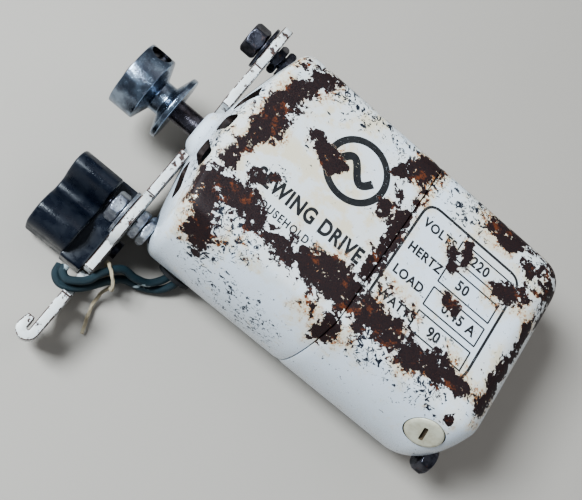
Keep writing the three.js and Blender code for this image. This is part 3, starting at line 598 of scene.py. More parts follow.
@dataclass(frozen=True)
class BareEdge(Finish):
    """An enamelled edge, chipped to dark steel in runs along it."""

    enamel: Color = (0.72, 0.74, 0.74)
    bared: float = 0.5

    def fill(self, tree: Tree, shader: bpy.types.Node) -> None:
        """Swaps enamel for dark metal where the noise is above the bared share.

        Args:
            tree: the material's tree.
            shader: the shader to feed.
        """
        at = tree.place()
        bits = tree.group(Groups.mottling, Point=at, Blotch=0.55, Speck=2.4)
        runs = tree.noise(at, 0.35, 5, 0.7)
        bare = tree.step(runs, 0.62 - 0.25 * self.bared, 0.65 - 0.25 * self.bared)
        metal = tree.mix(bits.outputs["Specks"], (0.02, 0.018, 0.02), (0.10, 0.05, 0.035))
        stained = tree.mix(tree.times(bits.outputs["Blotches"], 0.25), self.enamel,
                           (0.60, 0.52, 0.38))
        tree.feed(shader.inputs["Base Color"], tree.mix(bare, stained, metal))
        tree.feed(shader.inputs["Roughness"],
                  tree.plus(0.32, tree.times(bare, 0.3)))
        height = tree.rest(bare)
        tree.feed(shader.inputs["Normal"], tree.bump(height, 0.1))


@dataclass(frozen=True)
class Metal(Finish):
    """A worn metal: two tones in blotches, specks of grime and a turned or cast grain."""

    light: Color = (0.5, 0.5, 0.52)
    dark: Color = (0.2, 0.2, 0.22)
    grime: Color = (0.05, 0.035, 0.03)
    grimed: float = 0.3
    roughness: float = 0.35
    grain: Point = (6.0, 1.0, 1.0)
    metallic: float = 1.0
    relief: float = 0.03

    def fill(self, tree: Tree, shader: bpy.types.Node) -> None:
        """Mixes tones by broad noise, and lays grime where the fine noise is high.

        Args:
            tree: the material's tree.
            shader: the shader to feed.
        """
        at = tree.place()
        bits = tree.group(Groups.mottling, Point=at, Blotch=0.35, Speck=1.9)
        tone = tree.mix(bits.outputs["Blotches"], self.dark, self.light)
        dirt = tree.step(tree.noise(at, 0.6, 5, 0.7), 0.68 - 0.35 * self.grimed,
                         0.78 - 0.35 * self.grimed)
        tree.feed(shader.inputs["Base Color"], tree.mix(dirt, tone, self.grime))
        lines = tree.noise(tree.vector("MULTIPLY", at, self.grain), 1.2, 4, 0.6)
        rough = tree.plus(self.roughness - 0.08, tree.times(lines, 0.16))
        tree.feed(shader.inputs["Roughness"],
                  tree.plus(rough, tree.times(dirt, 0.3)))
        tree.feed(shader.inputs["Metallic"],
                  tree.times(tree.rest(dirt), self.metallic))
        pits = tree.plus(lines, tree.times(bits.outputs["Specks"], 0.4))
        tree.feed(shader.inputs["Normal"], tree.bump(pits, self.relief))


@dataclass(frozen=True)
class Moulded(Finish):
    """A moulded plastic with faint mottling, dust and fine scratches."""

    tone: Color = (0.02, 0.03, 0.07)
    dust: Color = (0.10, 0.10, 0.12)
    dusty: float = 0.25
    roughness: float = 0.22

    def fill(self, tree: Tree, shader: bpy.types.Node) -> None:
        """Dust sits in broad soft blotches; scratches are stretched noise in the gloss.

        Args:
            tree: the material's tree.
            shader: the shader to feed.
        """
        at = tree.place()
        bits = tree.group(Groups.mottling, Point=at, Blotch=0.22, Speck=2.6)
        dust = tree.times(bits.outputs["Blotches"], self.dusty)
        tree.feed(shader.inputs["Base Color"], tree.mix(dust, self.tone, self.dust))
        lines = tree.noise(tree.vector("MULTIPLY", at, (0.4, 3.0, 3.0)), 1.0, 3, 0.6)
        rough = tree.plus(self.roughness, tree.times(lines, 0.14))
        tree.feed(shader.inputs["Roughness"], tree.plus(rough, dust))
        tree.feed(shader.inputs["Normal"], tree.bump(bits.outputs["Specks"], 0.012))


@dataclass(frozen=True)
class Wound(Finish):
    """Varnished copper wire, as fine ridges round a coil."""

    tone: Color = (0.50, 0.21, 0.08)
    varnish: Color = (0.20, 0.07, 0.025)
    stretch: Point = (0.0, 0.0, 1.0)

    def fill(self, tree: Tree, shader: bpy.types.Node) -> None:
        """Ridges are a sine wave across the wire's run, a wire's width apart.

        Args:
            tree: the material's tree.
            shader: the shader to feed.
        """
        at = tree.place()
        wave = tree.node("ShaderNodeTexWave", wave_type="BANDS", bands_direction="DIAGONAL")
        tree.feed(wave.inputs["Vector"], tree.vector("MULTIPLY", at, self.stretch))
        wave.inputs["Scale"].default_value = 0.7
        wave.inputs["Distortion"].default_value = 0.6
        bits = tree.group(Groups.mottling, Point=at, Blotch=0.3, Speck=2.0)
        tone = tree.mix(wave.outputs["Fac"], self.varnish, self.tone)
        tree.feed(shader.inputs["Base Color"],
                  tree.mix(tree.times(bits.outputs["Blotches"], 0.4), tone, self.varnish))
        tree.feed(shader.inputs["Roughness"],
                  tree.plus(0.28, tree.times(bits.outputs["Specks"], 0.2)))
        tree.feed(shader.inputs["Metallic"], tree.times(wave.outputs["Fac"], 0.8))
        tree.feed(shader.inputs["Normal"], tree.bump(wave.outputs["Fac"], 0.2))


@dataclass(frozen=True)
class Woven(Finish):
    """A braided sleeve or a twisted thread, patterned on the piece's own UV map."""

    tone: Color = (0.003, 0.012, 0.018)
    light: Color = (0.007, 0.030, 0.040)
    bald: Color = (0.40, 0.46, 0.47)
    bald_share: float = 0.0
    roughness: float = 0.45
    pitch: Point = (1.0, 10.0, 1.0)

    def fill(self, tree: Tree, shader: bpy.types.Node) -> None:
        """Two crossed waves, one each way round the cord, give the plait.

        Args:
            tree: the material's tree.
            shader: the shader to feed.
        """
        uv = tree.node("ShaderNodeUVMap", uv_map="along_round")
        turned = []
        for sign in (1.0, -1.0):
            across = tree.vector("MULTIPLY", uv.outputs[0], (self.pitch[0], sign * self.pitch[1], 0))
            wave = tree.node("ShaderNodeTexWave", wave_type="BANDS", bands_direction="DIAGONAL")
            tree.feed(wave.inputs["Vector"], across)
            wave.inputs["Scale"].default_value = 1.0
            turned.append(wave.outputs["Fac"])
        plait = tree.larger(*turned)
        at = tree.place()
        bits = tree.group(Groups.mottling, Point=at, Blotch=0.3, Speck=2.2)
        tone = tree.mix(plait, self.tone, self.light)
        worn = tree.mix(tree.times(bits.outputs["Blotches"], 0.5), tone, self.tone)
        bald = tree.step(tree.noise(at, 0.16, 3), 0.72 - 0.3 * self.bald_share,
                         0.76 - 0.3 * self.bald_share)
        cover = tree.times(bald, min(1.0, 4 * self.bald_share))
        tree.feed(shader.inputs["Base Color"], tree.mix(cover, worn, self.bald))
        tree.feed(shader.inputs["Roughness"],
                  tree.plus(self.roughness, tree.times(plait, 0.15)))
        tree.feed(shader.inputs["Normal"], tree.bump(plait, 0.10))


@dataclass(frozen=True)
class Print(Finish):
    """Black printing that the rust and the chips have taken away with the enamel."""

    ink: Color = (0.004, 0.005, 0.007)

    def fill(self, tree: Tree, shader: bpy.types.Node) -> None:
        """The ink is there only where the enamel under it is whole, less a few pinholes.

        Args:
            tree: the material's tree.
            shader: the shader to feed.
        """
        at = tree.place()
        wear = tree.group(Groups.wear)
        lost = tree.larger(wear.outputs["Rust"], wear.outputs["Chips"])
        lost = tree.larger(lost, tree.times(wear.outputs["Fringe"], 0.9))
        pinholes = tree.step(tree.noise(at, 1.6, 4, 0.7), 0.66, 0.69)
        lost = tree.larger(lost, pinholes)
        faded = tree.noise(at, 0.5, 4)
        tree.feed(shader.inputs["Base Color"],
                  tree.mix(tree.times(faded, 0.1), self.ink, (0.3, 0.3, 0.3)))
        shader.inputs["Specular IOR Level"].default_value = 0.25
        tree.feed(shader.inputs["Alpha"], tree.math("SUBTRACT", 1, lost, True))
        tree.feed(shader.inputs["Roughness"], tree.plus(0.3, tree.times(faded, 0.1)))


@dataclass(frozen=True)
class Plain(Finish):
    """A pale stage surface with the faintest mottling."""

    tone: Color = (0.40, 0.365, 0.325)

    def fill(self, tree: Tree, shader: bpy.types.Node) -> None:
        """Keeps the tone nearly even.

        Args:
            tree: the material's tree.
            shader: the shader to feed.
        """
        cloud = tree.noise(tree.place(), 0.02, 2)
        lighter = tuple(min(1.0, part * 1.04) for part in self.tone)
        tree.feed(shader.inputs["Base Color"], tree.mix(cloud, self.tone, lighter))
        shader.inputs["Roughness"].default_value = 0.8


ENAMEL = HousingEnamel("enamel", "enamel")
# inner faces of the shells: a dark primer, painted near-black as shade inside the shell
INSIDE = Metal("inside_primer_and_shade", "enamel", (0.035, 0.030, 0.028), (0.014, 0.012, 0.011),
               metallic=0.2, roughness=0.6)
VENT_EDGE = Metal("vent_edge", "enamel", (0.045, 0.03, 0.026), (0.012, 0.009, 0.009), metallic=0.3,
                  roughness=0.5)
BRACKET = BareEdge("bracket_enamel", "bracket_enamel", bared=0.2)
BRACKET_EDGE = BareEdge("bracket_edge", "bracket_enamel", bared=0.75)
BAKELITE = Moulded("bakelite", "bakelite", (0.0035, 0.006, 0.013), (0.02, 0.026, 0.036), 0.25,
                   0.15)
IVORY = Moulded("ivory", "ivory", (0.54, 0.52, 0.41), (0.27, 0.22, 0.13), 0.5, 0.25)
CAP_SLOT = Moulded("cap_slot", "ivory", (0.10, 0.07, 0.04), (0.05, 0.04, 0.03), 0.4, 0.6)
FIBRE = Moulded("fibre", "fibre", (0.20, 0.11, 0.06), (0.10, 0.07, 0.05), 0.4, 0.6)
CARBON = Moulded("carbon", "carbon", (0.02, 0.02, 0.022), (0.06, 0.06, 0.06), 0.3, 0.5)
RUBBER = Moulded("rubber", "rubber", (0.012, 0.012, 0.013), (0.05, 0.05, 0.05), 0.35, 0.6)
FELT = Moulded("felt", "felt", (0.52, 0.45, 0.33), (0.30, 0.24, 0.15), 0.6, 0.85)
PULLEY = Metal("pulley_steel", "pulley_steel", (0.30, 0.36, 0.44), (0.15, 0.17, 0.215),
               (0.03, 0.024, 0.032), 0.22, 0.22, (5.0, 0.7, 0.7))
SHAFT = Metal("shaft_steel", "steel", (0.14, 0.13, 0.15), (0.06, 0.05, 0.055), grimed=0.25,
              roughness=0.26, grain=(8.0, 1.0, 1.0))
GALVANISED = Metal("galvanised_steel", "steel", (0.52, 0.55, 0.60), (0.20, 0.21, 0.25),
                   (0.06, 0.05, 0.06), 0.35, 0.36, (2.0, 2.0, 2.0))
DARK_STEEL = Metal("dark_steel", "dark_steel", (0.10, 0.10, 0.12), (0.035, 0.035, 0.045),
                   (0.06, 0.025, 0.014), 0.25, 0.30, (2.0, 2.0, 2.0))
STACK = Metal("laminations", "laminations", (0.16, 0.15, 0.15), (0.07, 0.06, 0.06),
              roughness=0.5, grain=(14.0, 0.3, 0.3), relief=0.15)
COPPER = Wound("copper_winding", "copper_winding")
BARS = Metal("commutator_copper", "commutator_copper", (0.62, 0.28, 0.14), (0.30, 0.13, 0.07))
BRONZE = Metal("bronze", "bronze", (0.46, 0.29, 0.13), (0.24, 0.15, 0.07), roughness=0.42)
BRASS = Metal("brass", "brass", (0.66, 0.48, 0.20), (0.38, 0.26, 0.10), grimed=0.1)
FAN = Metal("fan_alloy", "fan_alloy", (0.60, 0.61, 0.63), (0.36, 0.37, 0.39), grimed=0.15)
SLEEVE = Woven("lead_sleeve", "lead_sleeve", bald_share=0.25)
THREAD = Woven("thread", "thread", (0.30, 0.23, 0.14), (0.60, 0.52, 0.38), roughness=0.7,
               pitch=(2.2, 3.0, 1.0))
INK = Print("print", "enamel")
FLOOR = Plain("floor", "enamel")


# ------------------------------------------------------------------ surfaces
class Ends(Enum):
    """How a grid's first and last rows are closed."""

    CAPPED = "capped"
    LOOPED = "looped"


def surface(name: str, points: np.ndarray, finish: Finish, ends: Ends = Ends.CAPPED,
            sharp: float = 32.0) -> bpy.types.Object:
    """A closed surface from a grid of points whose columns close round the piece.

    Each quad joins a point with its neighbours in the next column and the next row. The end rows
    are closed by one flat face each, or joined to each other. If the enclosed volume, the sum of
    the signed tetrahedra to the origin, comes out negative, every face is turned round.

    Args:
        name: the object's name.
        points: rows by columns by 3, in motor-frame millimetres.
        finish: the finish of every face.
        ends: how the end rows are closed.
        sharp: edges that bend more than this many degrees stay sharp.

    Returns:
        The new object, at the origin.
    """
    rows, columns = points.shape[:2]
    place = row(points.reshape(-1, 3))
    last = rows if ends is Ends.LOOPED else rows - 1
    i, j = (grid.ravel() for grid in np.meshgrid(np.arange(last), np.arange(columns), indexing="ij"))
    following, beside = (i + 1) % rows, (j + 1) % columns
    quads = np.stack([i * columns + j, i * columns + beside, following * columns + beside,
                      following * columns + j], axis=1)
    faces = quads.tolist()
    if ends is Ends.CAPPED:
        faces.append(np.arange(columns)[::-1].tolist())
        faces.append((np.arange(columns) + (rows - 1) * columns).tolist())
    centred = place - place.mean(0)
    corners = centred[quads]
    volume = np.einsum("ij,ij->", corners[:, 0], np.cross(corners[:, 1], corners[:, 2]))
    volume += np.einsum("ij,ij->", corners[:, 0], np.cross(corners[:, 2], corners[:, 3]))
    if volume < 0:
        faces = [face[::-1] for face in faces]
    mesh = bpy.data.meshes.new(name)
    mesh.from_pydata(place.tolist(), [], faces)
    mesh.validate()
    made = placed(name, mesh)
    mesh.materials.append(finish.material())
    soften(made, sharp)
    return made


def soften(piece: bpy.types.Object, sharp: float) -> None:
    """Shades a piece smooth, but for the edges that bend more than sharp degrees."""
    piece.data.shade_smooth()
    piece.data.set_sharp_from_angle(angle=math.radians(sharp))


def rounded(corners: Sequence[tuple[float, float]], radius: float, steps: int = 5,
            closed: bool = False) -> np.ndarray:
    """A polyline with each corner cut back by radius and bridged by a quadratic curve.

    At a corner P between A and B the curve runs P + (1-t)^2 a + t^2 b, where a and b are the
    steps from P towards A and B, no longer than 0.45 of either side.

    Args:
        corners: the polyline's points.
        radius: how far each corner is cut back.
        steps: points to a curve.
        closed: whether the last point joins the first.

    Returns:
        Rows of the two coordinates.
    """
    path = np.asarray(corners, float)
    before, after = np.roll(path, 1, 0) - path, np.roll(path, -1, 0) - path
    parts = []
    for vector in (before, after):
        length = np.linalg.norm(vector, axis=1, keepdims=True)
        parts.append(vector / length * np.minimum(radius, 0.45 * length))
    t = np.linspace(0, 1, steps)[None, :, None]
    curves = path[:, None] + (1 - t) ** 2 * parts[0][:, None] + t ** 2 * parts[1][:, None]
    if closed:
        return curves.reshape(-1, 2)
    return np.concatenate([path[:1], curves[1:-1].reshape(-1, 2), path[-1:]])


def full_turn(columns: int) -> np.ndarray:
    """Evenly spaced angles round a full turn."""
    return np.linspace(0, 2 * np.pi, columns, endpoint=False)


def about_x(x: np.ndarray, radius: np.ndarray, angle: np.ndarray,
            centre: tuple[float, float] = (0.0, 0.0)) -> np.ndarray:
    """Points at x, radius cos a and radius sin a, moved by a centre's y and z."""
    return np.stack([x + 0 * radius, radius * np.cos(angle) + centre[0],
                     radius * np.sin(angle) + centre[1]], axis=-1)


def turned(name: str, profile: np.ndarray, finish: Finish, columns: int = 64,
           ends: Ends = Ends.CAPPED, centre: tuple[float, float] = (0.0, 0.0)) -> bpy.types.Object:
    """A profile of (x, radius) turned about a line along X: y = r cos a, z = r sin a.

    Args:
        name: the object's name.
        profile: rows of x and radius.
        finish: the finish of every face.
        columns: how many points go round.
        ends: how the profile's ends are closed.
        centre: y and z of the line.

    Returns:
        The new object.
    """
    angle = full_turn(columns)
    radius = profile[:, 1, None] + 0 * angle
    return surface(name, about_x(profile[:, 0, None], radius, angle, centre), finish, ends)


def drill(span: tuple[float, float], radius: float, finish: Finish, columns: int,
          centre: tuple[float, float] = (0.0, 0.0)) -> bpy.types.Object:
    """A plain cylinder along X, to cut a hole with."""
    return turned("drill", np.array([[x, radius] for x in span]), finish, columns, centre=centre)


CHAMFER_START = 0.96                  # the end face's radius, as a share of half the flats
CHAMFER_SLOPE = 1.15                  # how fast the cone widens behind it


def hexagonal(name: str, ends_x: tuple[float, float], flats: float, bore: Optional[float],
              centre: tuple[float, float], finish: Finish, turn: float = 0.0) -> bpy.types.Object:
    """A nut or a bolt head, with its corners turned off to a cone at both ends.

    The radius at an angle is half the flats over the cosine of the angle from the nearest flat,
    but no more than the cone's radius, which shrinks towards either end face.

    Args:
        name: the object's name.
        ends_x: where the two end faces stand.
        flats: size across the flats.
        bore: radius of the hole, or None for a solid head.
        centre: y and z of its axis.
        finish: its finish.
        turn: degrees that the first flat is turned by.

    Returns:
        The new object.
    """
    columns = 96
    angle = full_turn(columns)
    from_flat = (angle - math.radians(turn) + np.pi / 6) % (np.pi / 3) - np.pi / 6
    outline = flats / 2 / np.cos(from_flat)
    low, high = ends_x
    inset = np.array([0.0, 0.12, 0.3, 0.55, 0.9])
    x = np.concatenate([low + inset, high - inset[::-1]])
    taper = flats / 2 * CHAMFER_START + inset * CHAMFER_SLOPE
    cone = np.concatenate([taper, taper[::-1]])
    radius = np.minimum(outline[None], cone[:, None])
    if bore is not None:
        hole = np.array([[high, bore + 0.25], [high - 0.3, bore], [low + 0.3, bore], [low, bore + 0.25]])
        x = np.concatenate([x, hole[:, 0]])
        radius = np.concatenate([radius, np.repeat(hole[:, 1:], columns, axis=1)])
    return surface(name, about_x(x[:, None], radius, angle, centre), finish,
                   Ends.CAPPED if bore is None else Ends.LOOPED, 25)


def smooth_path(points: Sequence[Point], count: int) -> np.ndarray:
    """Points spaced along a centripetal spline through the given ones.

    Between two knots the curve is the cubic whose slopes there come from the neighbours, with
    each knot's place on the line set by the square root of the distance to the next.

    Args:
        points: what the curve passes through.
        count: how many points come out.

    Returns:
        Rows of x, y and z.
    """
    path = np.asarray(points, float)
    gaps = np.sqrt(np.linalg.norm(np.diff(path, axis=0), axis=1))
    knots = np.concatenate([[0], np.cumsum(gaps)])
    slopes = np.gradient(path, knots, axis=0)
    t = np.linspace(0, knots[-1], count)
    k = np.clip(np.searchsorted(knots, t, side="right") - 1, 0, len(path) - 2)
    width = (knots[k + 1] - knots[k])[:, None]
    s = (t[:, None] - knots[k][:, None]) / width
    return ((2 * s ** 3 - 3 * s ** 2 + 1) * path[k] + (s ** 3 - 2 * s ** 2 + s) * width * slopes[k]
            + (3 * s ** 2 - 2 * s ** 3) * path[k + 1] + (s ** 3 - s ** 2) * width * slopes[k + 1])


def swept(name: str, route: Sequence[Point], radius: float, finish: Finish, count: int,
          columns: int = 16, plies: int = 0, twist: float = 1.6) -> bpy.types.Object:
    """A cord along a smooth path, with a UV map that runs along it and round it.

    The section's two axes are square to the path and start from the world direction that the
    path leans to least. With plies the radius swells once per ply round the section, and the
    swellings turn along the path, as in a twisted thread.

    Args:
        name: the object's name.
        route: what the cord passes through.
        radius: the cord's largest radius.
        finish: its finish.
        count: rows along it.
        columns: points round it.
        plies: strands of a twisted thread, or 0 for a round cord.
        twist: radians turned in each millimetre.

    Returns:
        The new object.
    """
    line = smooth_path(route, count)
    tangent = np.gradient(line, axis=0)
    tangent /= np.linalg.norm(tangent, axis=1, keepdims=True)
    lean = np.abs(tangent).mean(0)
    side = np.cross(tangent, np.eye(3)[lean.argmin()])
    side /= np.linalg.norm(side, axis=1, keepdims=True)
    over = np.cross(tangent, side)
    run = np.concatenate([[0], np.cumsum(np.linalg.norm(np.diff(line, axis=0), axis=1))])
    angle = full_turn(columns)
    swell = 1 + (0.16 * np.cos(plies * angle - twist * run[:, None]) if plies else 0 * run[:, None])
    reach = radius * swell[..., None] / (1.16 if plies else 1)
    points = line[:, None] + reach * (np.cos(angle)[None, :, None] * side[:, None]
                                      + np.sin(angle)[None, :, None] * over[:, None])
    made = surface(name, points, finish, sharp=60)
    layer = made.data.uv_layers.new(name="along_round")
    corner = np.zeros(len(made.data.loops), int)
    made.data.loops.foreach_get("vertex_index", corner)
    uv = np.stack([run[corner // columns], (corner % columns) / columns], axis=1)
    layer.data.foreach_set("uv", uv.ravel())
    return made


def prism(name: str, outline: np.ndarray, ends_x: tuple[float, float], finish: Finish,
          edge: float = 0.5, tilt: float = 0.0) -> bpy.types.Object:
    """A closed outline of (u, w) carried along X, with both end edges rounded.

    Near an end the outline is drawn in along its normals by edge (1 - sin a) while x moves in by
    edge (1 - cos a), for a quarter turn of a. The whole is then turned about X by tilt degrees.

    Args:
        name: the object's name.
        outline: rows of u and w.
        ends_x: where the two end faces stand.
        finish: its finish.
        edge: radius of the end edges.
        tilt: degrees turned about X.

    Returns:
        The new object.
    """
    ahead, behind = np.roll(outline, -1, 0), np.roll(outline, 1, 0)
    along = ahead - behind
    along /= np.linalg.norm(along, axis=1, keepdims=True)
    area = np.sum(outline[:, 0] * np.roll(outline[:, 1], -1) - ahead[:, 0] * outline[:, 1])
    normal = np.stack([along[:, 1], -along[:, 0]], axis=1) * np.sign(area)
    a = np.linspace(0, np.pi / 2, 5)
    inset, shift = edge * (1 - np.sin(a)), edge * (1 - np.cos(a))
    low, high = ends_x
    x = np.concatenate([low + shift, high - shift[::-1]])
    drawn = np.concatenate([inset, inset[::-1]])
    flat = outline[None] - drawn[:, None, None] * normal[None]
    turn = math.radians(tilt)
    y = flat[..., 0] * math.cos(turn) - flat[..., 1] * math.sin(turn)
    z = flat[..., 0] * math.sin(turn) + flat[..., 1] * math.cos(turn)
    return surface(name, np.stack([x[:, None] + 0 * y, y, z], axis=-1), finish)


def carved(piece: bpy.types.Object, cutters: Sequence[bpy.types.Object],
           operation: str = "DIFFERENCE", sharp: float = 32.0) -> bpy.types.Object:
    """Cuts other closed pieces out of a piece, or joins them to it, and removes them.

    Args:
        piece: the piece that stays.
        cutters: the pieces that go.
        operation: the name of the solid operation.
        sharp: edges that bend more than this many degrees stay sharp.

    Returns:
        The same piece, with its new mesh.
    """
    for cutter in cutters:
        modifier = piece.modifiers.new("carve", "BOOLEAN")
        modifier.operation, modifier.solver, modifier.object = operation, "EXACT", cutter
        modifier.material_mode = "TRANSFER"
    mesh = evaluated(piece)
    piece.modifiers.clear()
    piece.data = mesh
    mesh.name = piece.name
    for cutter in cutters:
        bpy.data.objects.remove(cutter)
    soften(piece, sharp)
    return piece


def together(pieces: Sequence[bpy.types.Object]) -> bpy.types.Object:
    """Joins pieces that don't touch into the first one.

    Args:
        pieces: the pieces to join.

    Returns:
        The first piece, which now holds them all.
    """
    with bpy.context.temp_override(active_object=pieces[0], selected_editable_objects=list(pieces)):
        bpy.ops.object.join()
    return pieces[0]


def finished_copy(node: str, name: str, finish: Finish, edge_finish: Optional[Finish] = None,
                  edge: float = 0.3) -> bpy.types.Object:
    """A copy of a CAD node with its corners merged and its edges broken by a small bevel.

    Args:
        node: the CAD node.
        name: the copy's name.
        finish: the finish of its faces.
        edge_finish: the finish of the bevels, or None for the same.
        edge: the bevel's width.

    Returns:
        The copy.
    """
    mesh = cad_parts[node].data.copy()
    mesh.name = name
    made = placed(name, mesh)
    weld = made.modifiers.new("weld", "WELD")
    weld.merge_threshold = 0.03 * MM
    flatten = made.modifiers.new("flatten", "DECIMATE")
    flatten.decimate_type, flatten.angle_limit = "DISSOLVE", math.radians(0.5)
    mesh.materials.clear()
    mesh.materials.append(finish.material())
    mesh.materials.append((edge_finish or finish).material())
    mesh.polygons.foreach_set("material_index", np.zeros(len(mesh.polygons), np.int32))
    bevel = made.modifiers.new("bevel", "BEVEL")
    bevel.width, bevel.segments, bevel.angle_limit = edge * MM, 2, math.radians(34)
    bevel.material = 1
    bevel.use_clamp_overlap = False
    final = evaluated(made)
    made.modifiers.clear()
    made.data = final
    soften(made, 34)
    return made


def mounted(piece: bpy.types.Object, body: Body, finish: Finish, *nodes: str) -> bpy.types.Object:
    """Sets what every piece needs: its body, its slot and the CAD nodes it stands for.

    Args:
        piece: the piece.
        body: the body it rides on.
        finish: its main finish, which holds the slot.
        *nodes: the CAD nodes it replaces.

    Returns:
        The same piece.
    """
    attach(piece, body.value)
    if nodes:
        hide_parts(*nodes)
    logging.info("%s rides on %s, %d faces", piece.name, body.value, len(piece.data.polygons))
    return piece


# ------------------------------------------------------------------ housing
@dataclass
class Housing:
    """The two pressed shells, with their bent flat edges, vents and openings."""

    radius: float = 35.0
    wall: float = 1.5
    bend: float = 2.4                 # how softly the flats bend into the round sides
    seam: float = 0.14                # half the gap between the shells
    lip: float = 0.5                  # rounding of the seam's lips
    front_length: float = 44.0
    front_shoulder: float = 4.5
    dome_rise: float = 6.75
    shoulder_turn: float = 72.0       # degrees of the front shoulder's arc
    flat_shoulder: float = 5.0
    nose_radius: float = 7.9          # where the dome meets the nose
    nose_tip: float = 57.43
    nose_hole: float = 3.5
    nose_pocket: float = 8.0          # radius of the bearing's seat
    rear_length: float = 39.0
    rear_shoulder: float = 10.5
    vent_width: float = 5.2
    vent_radii: tuple[float, float] = (14.2, 25.2)
    vent_skew: int = 6                # degrees the ring of vents is turned back by
    vent_margin: float = 1.9          # between a vent's end and the flat
    bolt_bore: float = 2.3
    spot_radius: float = 5.4          # the flat seats under the bolts' washers and nuts
    spot_x: tuple[float, float] = (48.3, -46.4)
    grommet_radius: float = 4.4
    port_radius: float = 5.7
    middle_x: float = 22.0            # a point inside either shell, this far from the seam
    columns: int = 264

    def bent(self, radius: np.ndarray, flat: np.ndarray) -> np.ndarray:
        """The radius at every angle, for rows that each have a round radius and a flat height.

        It is the smaller of the round radius and flat height / |cos| of the angle from +Z, less
        a soft fillet where the two are close: bend h^2 / 4, h falling from 1 to 0 over the bend.

        Args:
            radius: each row's round radius.
            flat: each row's flat height.

        Returns:
            The radius, rows by columns.
        """
        angle = full_turn(self.columns)
        away = np.minimum(flat[:, None] / np.maximum(np.abs(np.sin(angle)), 1e-3), 400.0)
        around = radius[:, None] + 0 * away
        near = np.maximum(self.bend - np.abs(around - away), 0) / self.bend
        return np.minimum(around, away) - self.bend * near ** 2 / 4

    def shell(self, name: str, rows: np.ndarray) -> bpy.types.Object:
        """A shell from a closed run of rows of x, round radius and flat height.

        Args:
            name: the object's name.
            rows: the closed run of rows.

        Returns:
            The shell.
        """
        radius = self.bent(rows[:, 1], rows[:, 2])
        points = about_x(rows[:, :1], radius, full_turn(self.columns))
        return surface(name, points, ENAMEL, Ends.LOOPED, 40)

    def front_rows(self, inset: float, start: float) -> np.ndarray:
        """Rows from the seam over the shoulder and dome to the nose, set in by inset.

        The round profile is a straight wall, a shoulder arc and a dome whose rise
        falls with the radius to the power 1.5. The flats roll in on an arc of their own.

        Args:
            inset: how far inside the outer surface they run.
            start: where they start.

        Returns:
            Rows of x, round radius and flat height.
        """
        turn = math.radians(self.shoulder_turn)
        edge_x = self.front_length + self.front_shoulder * math.sin(turn)
        edge_r = self.radius - self.front_shoulder * (1 - math.cos(turn)) - inset
        wall_x = np.linspace(start, self.front_length, 30)
        wall_r = np.full(30, self.radius - inset)
        a = np.linspace(0, turn, 12)[1:]
        arc_x = self.front_length + (self.front_shoulder - inset) * np.sin(a)
        arc_r = self.radius - self.front_shoulder + (self.front_shoulder - inset) * np.cos(a)
        dome_r = np.linspace(edge_r, self.nose_radius, 40)[1:]
        dome_x = edge_x - inset + self.dome_rise * (1 - (dome_r / edge_r) ** 1.5)
        x = np.concatenate([wall_x, arc_x, dome_x])
        radius = np.concatenate([wall_r, arc_r, dome_r])
        centre = edge_x - 1.3
        reach = self.flat_shoulder - inset
        past = np.clip((x - centre) / reach, 0, math.sin(turn))
        flat = AXIS_Z - self.flat_shoulder + reach * np.sqrt(1 - past ** 2)
        slope = math.tan(turn) ** -1 * 2.9
        flat -= slope * np.maximum(x - centre - reach * math.sin(turn), 0)
        return np.stack([x, radius, flat], axis=1)

    def front(self) -> bpy.types.Object:
        """The front shell, with its nose, vents, bolt holes and grommet hole.

        Returns:
            The shell.
        """
        outer = self.front_rows(0, self.seam)
        outer[0, 1:] -= self.lip
        lip = outer[:1] + [[0.1, self.lip * 0.6, self.lip * 0.6]]
        seat = motor_box("front_bearing")[0][0]
        tip, hole, pocket = self.nose_tip, self.nose_hole, self.nose_pocket
        nose = rounded([(54.2, self.nose_radius), (55.4, 6.7), (56.7, 5.9), (tip, 4.6), (tip, hole),
                        (seat, hole), (seat, pocket), (53.2, pocket)], 0.35, 4)
        nose_rows = np.column_stack([nose, np.full(len(nose), 60.0)])
        inner = self.front_rows(self.wall, self.seam)[::-1]
        shell = self.shell("front_shell_skin",
                           np.concatenate([outer[:1], lip, outer[1:], nose_rows[1:-1], inner]))
        shell.data.materials.append(VENT_EDGE.material())
        cutters = [self.vent(turn) for turn in range(0, 360, 30) if turn not in (90, 270)]
        for centre in bolt_places():
            cutters.append(drill((40, 60), self.bolt_bore, VENT_EDGE, 32, centre))
            cutters.append(drill((self.spot_x[0], 60), self.spot_radius, ENAMEL, 48, centre))
        hole = drill((-6, 6), self.grommet_radius, VENT_EDGE, 40)
        aim(hole, middle_of("lead_grommet"))
        cutters.append(hole)
        expose(carved(shell, cutters, sharp=40))
        line_inside(shell, self.middle_x)
        return mounted(shell, Body.HOUSING, ENAMEL, "front_shell")

    def vent(self, turn: int) -> bpy.types.Object:
        """A cutter for one vent: a slot with rounded corners, turned about the shaft.

        Args:
            turn: degrees about the shaft from the upper flat.

        Returns:
            The cutter.
        """
        skewed = turn - self.vent_skew
        foot, top = self.vent_radii
        to = min(top, (AXIS_Z - self.vent_margin) / abs(math.cos(math.radians(skewed))))
        half = self.vent_width / 2
        slot = rounded([(-half, foot), (half, foot), (half, to), (-half, to)], 1.7, 6, True)
        return prism("vent", slot, (40, 60), VENT_EDGE, 0.01, skewed)

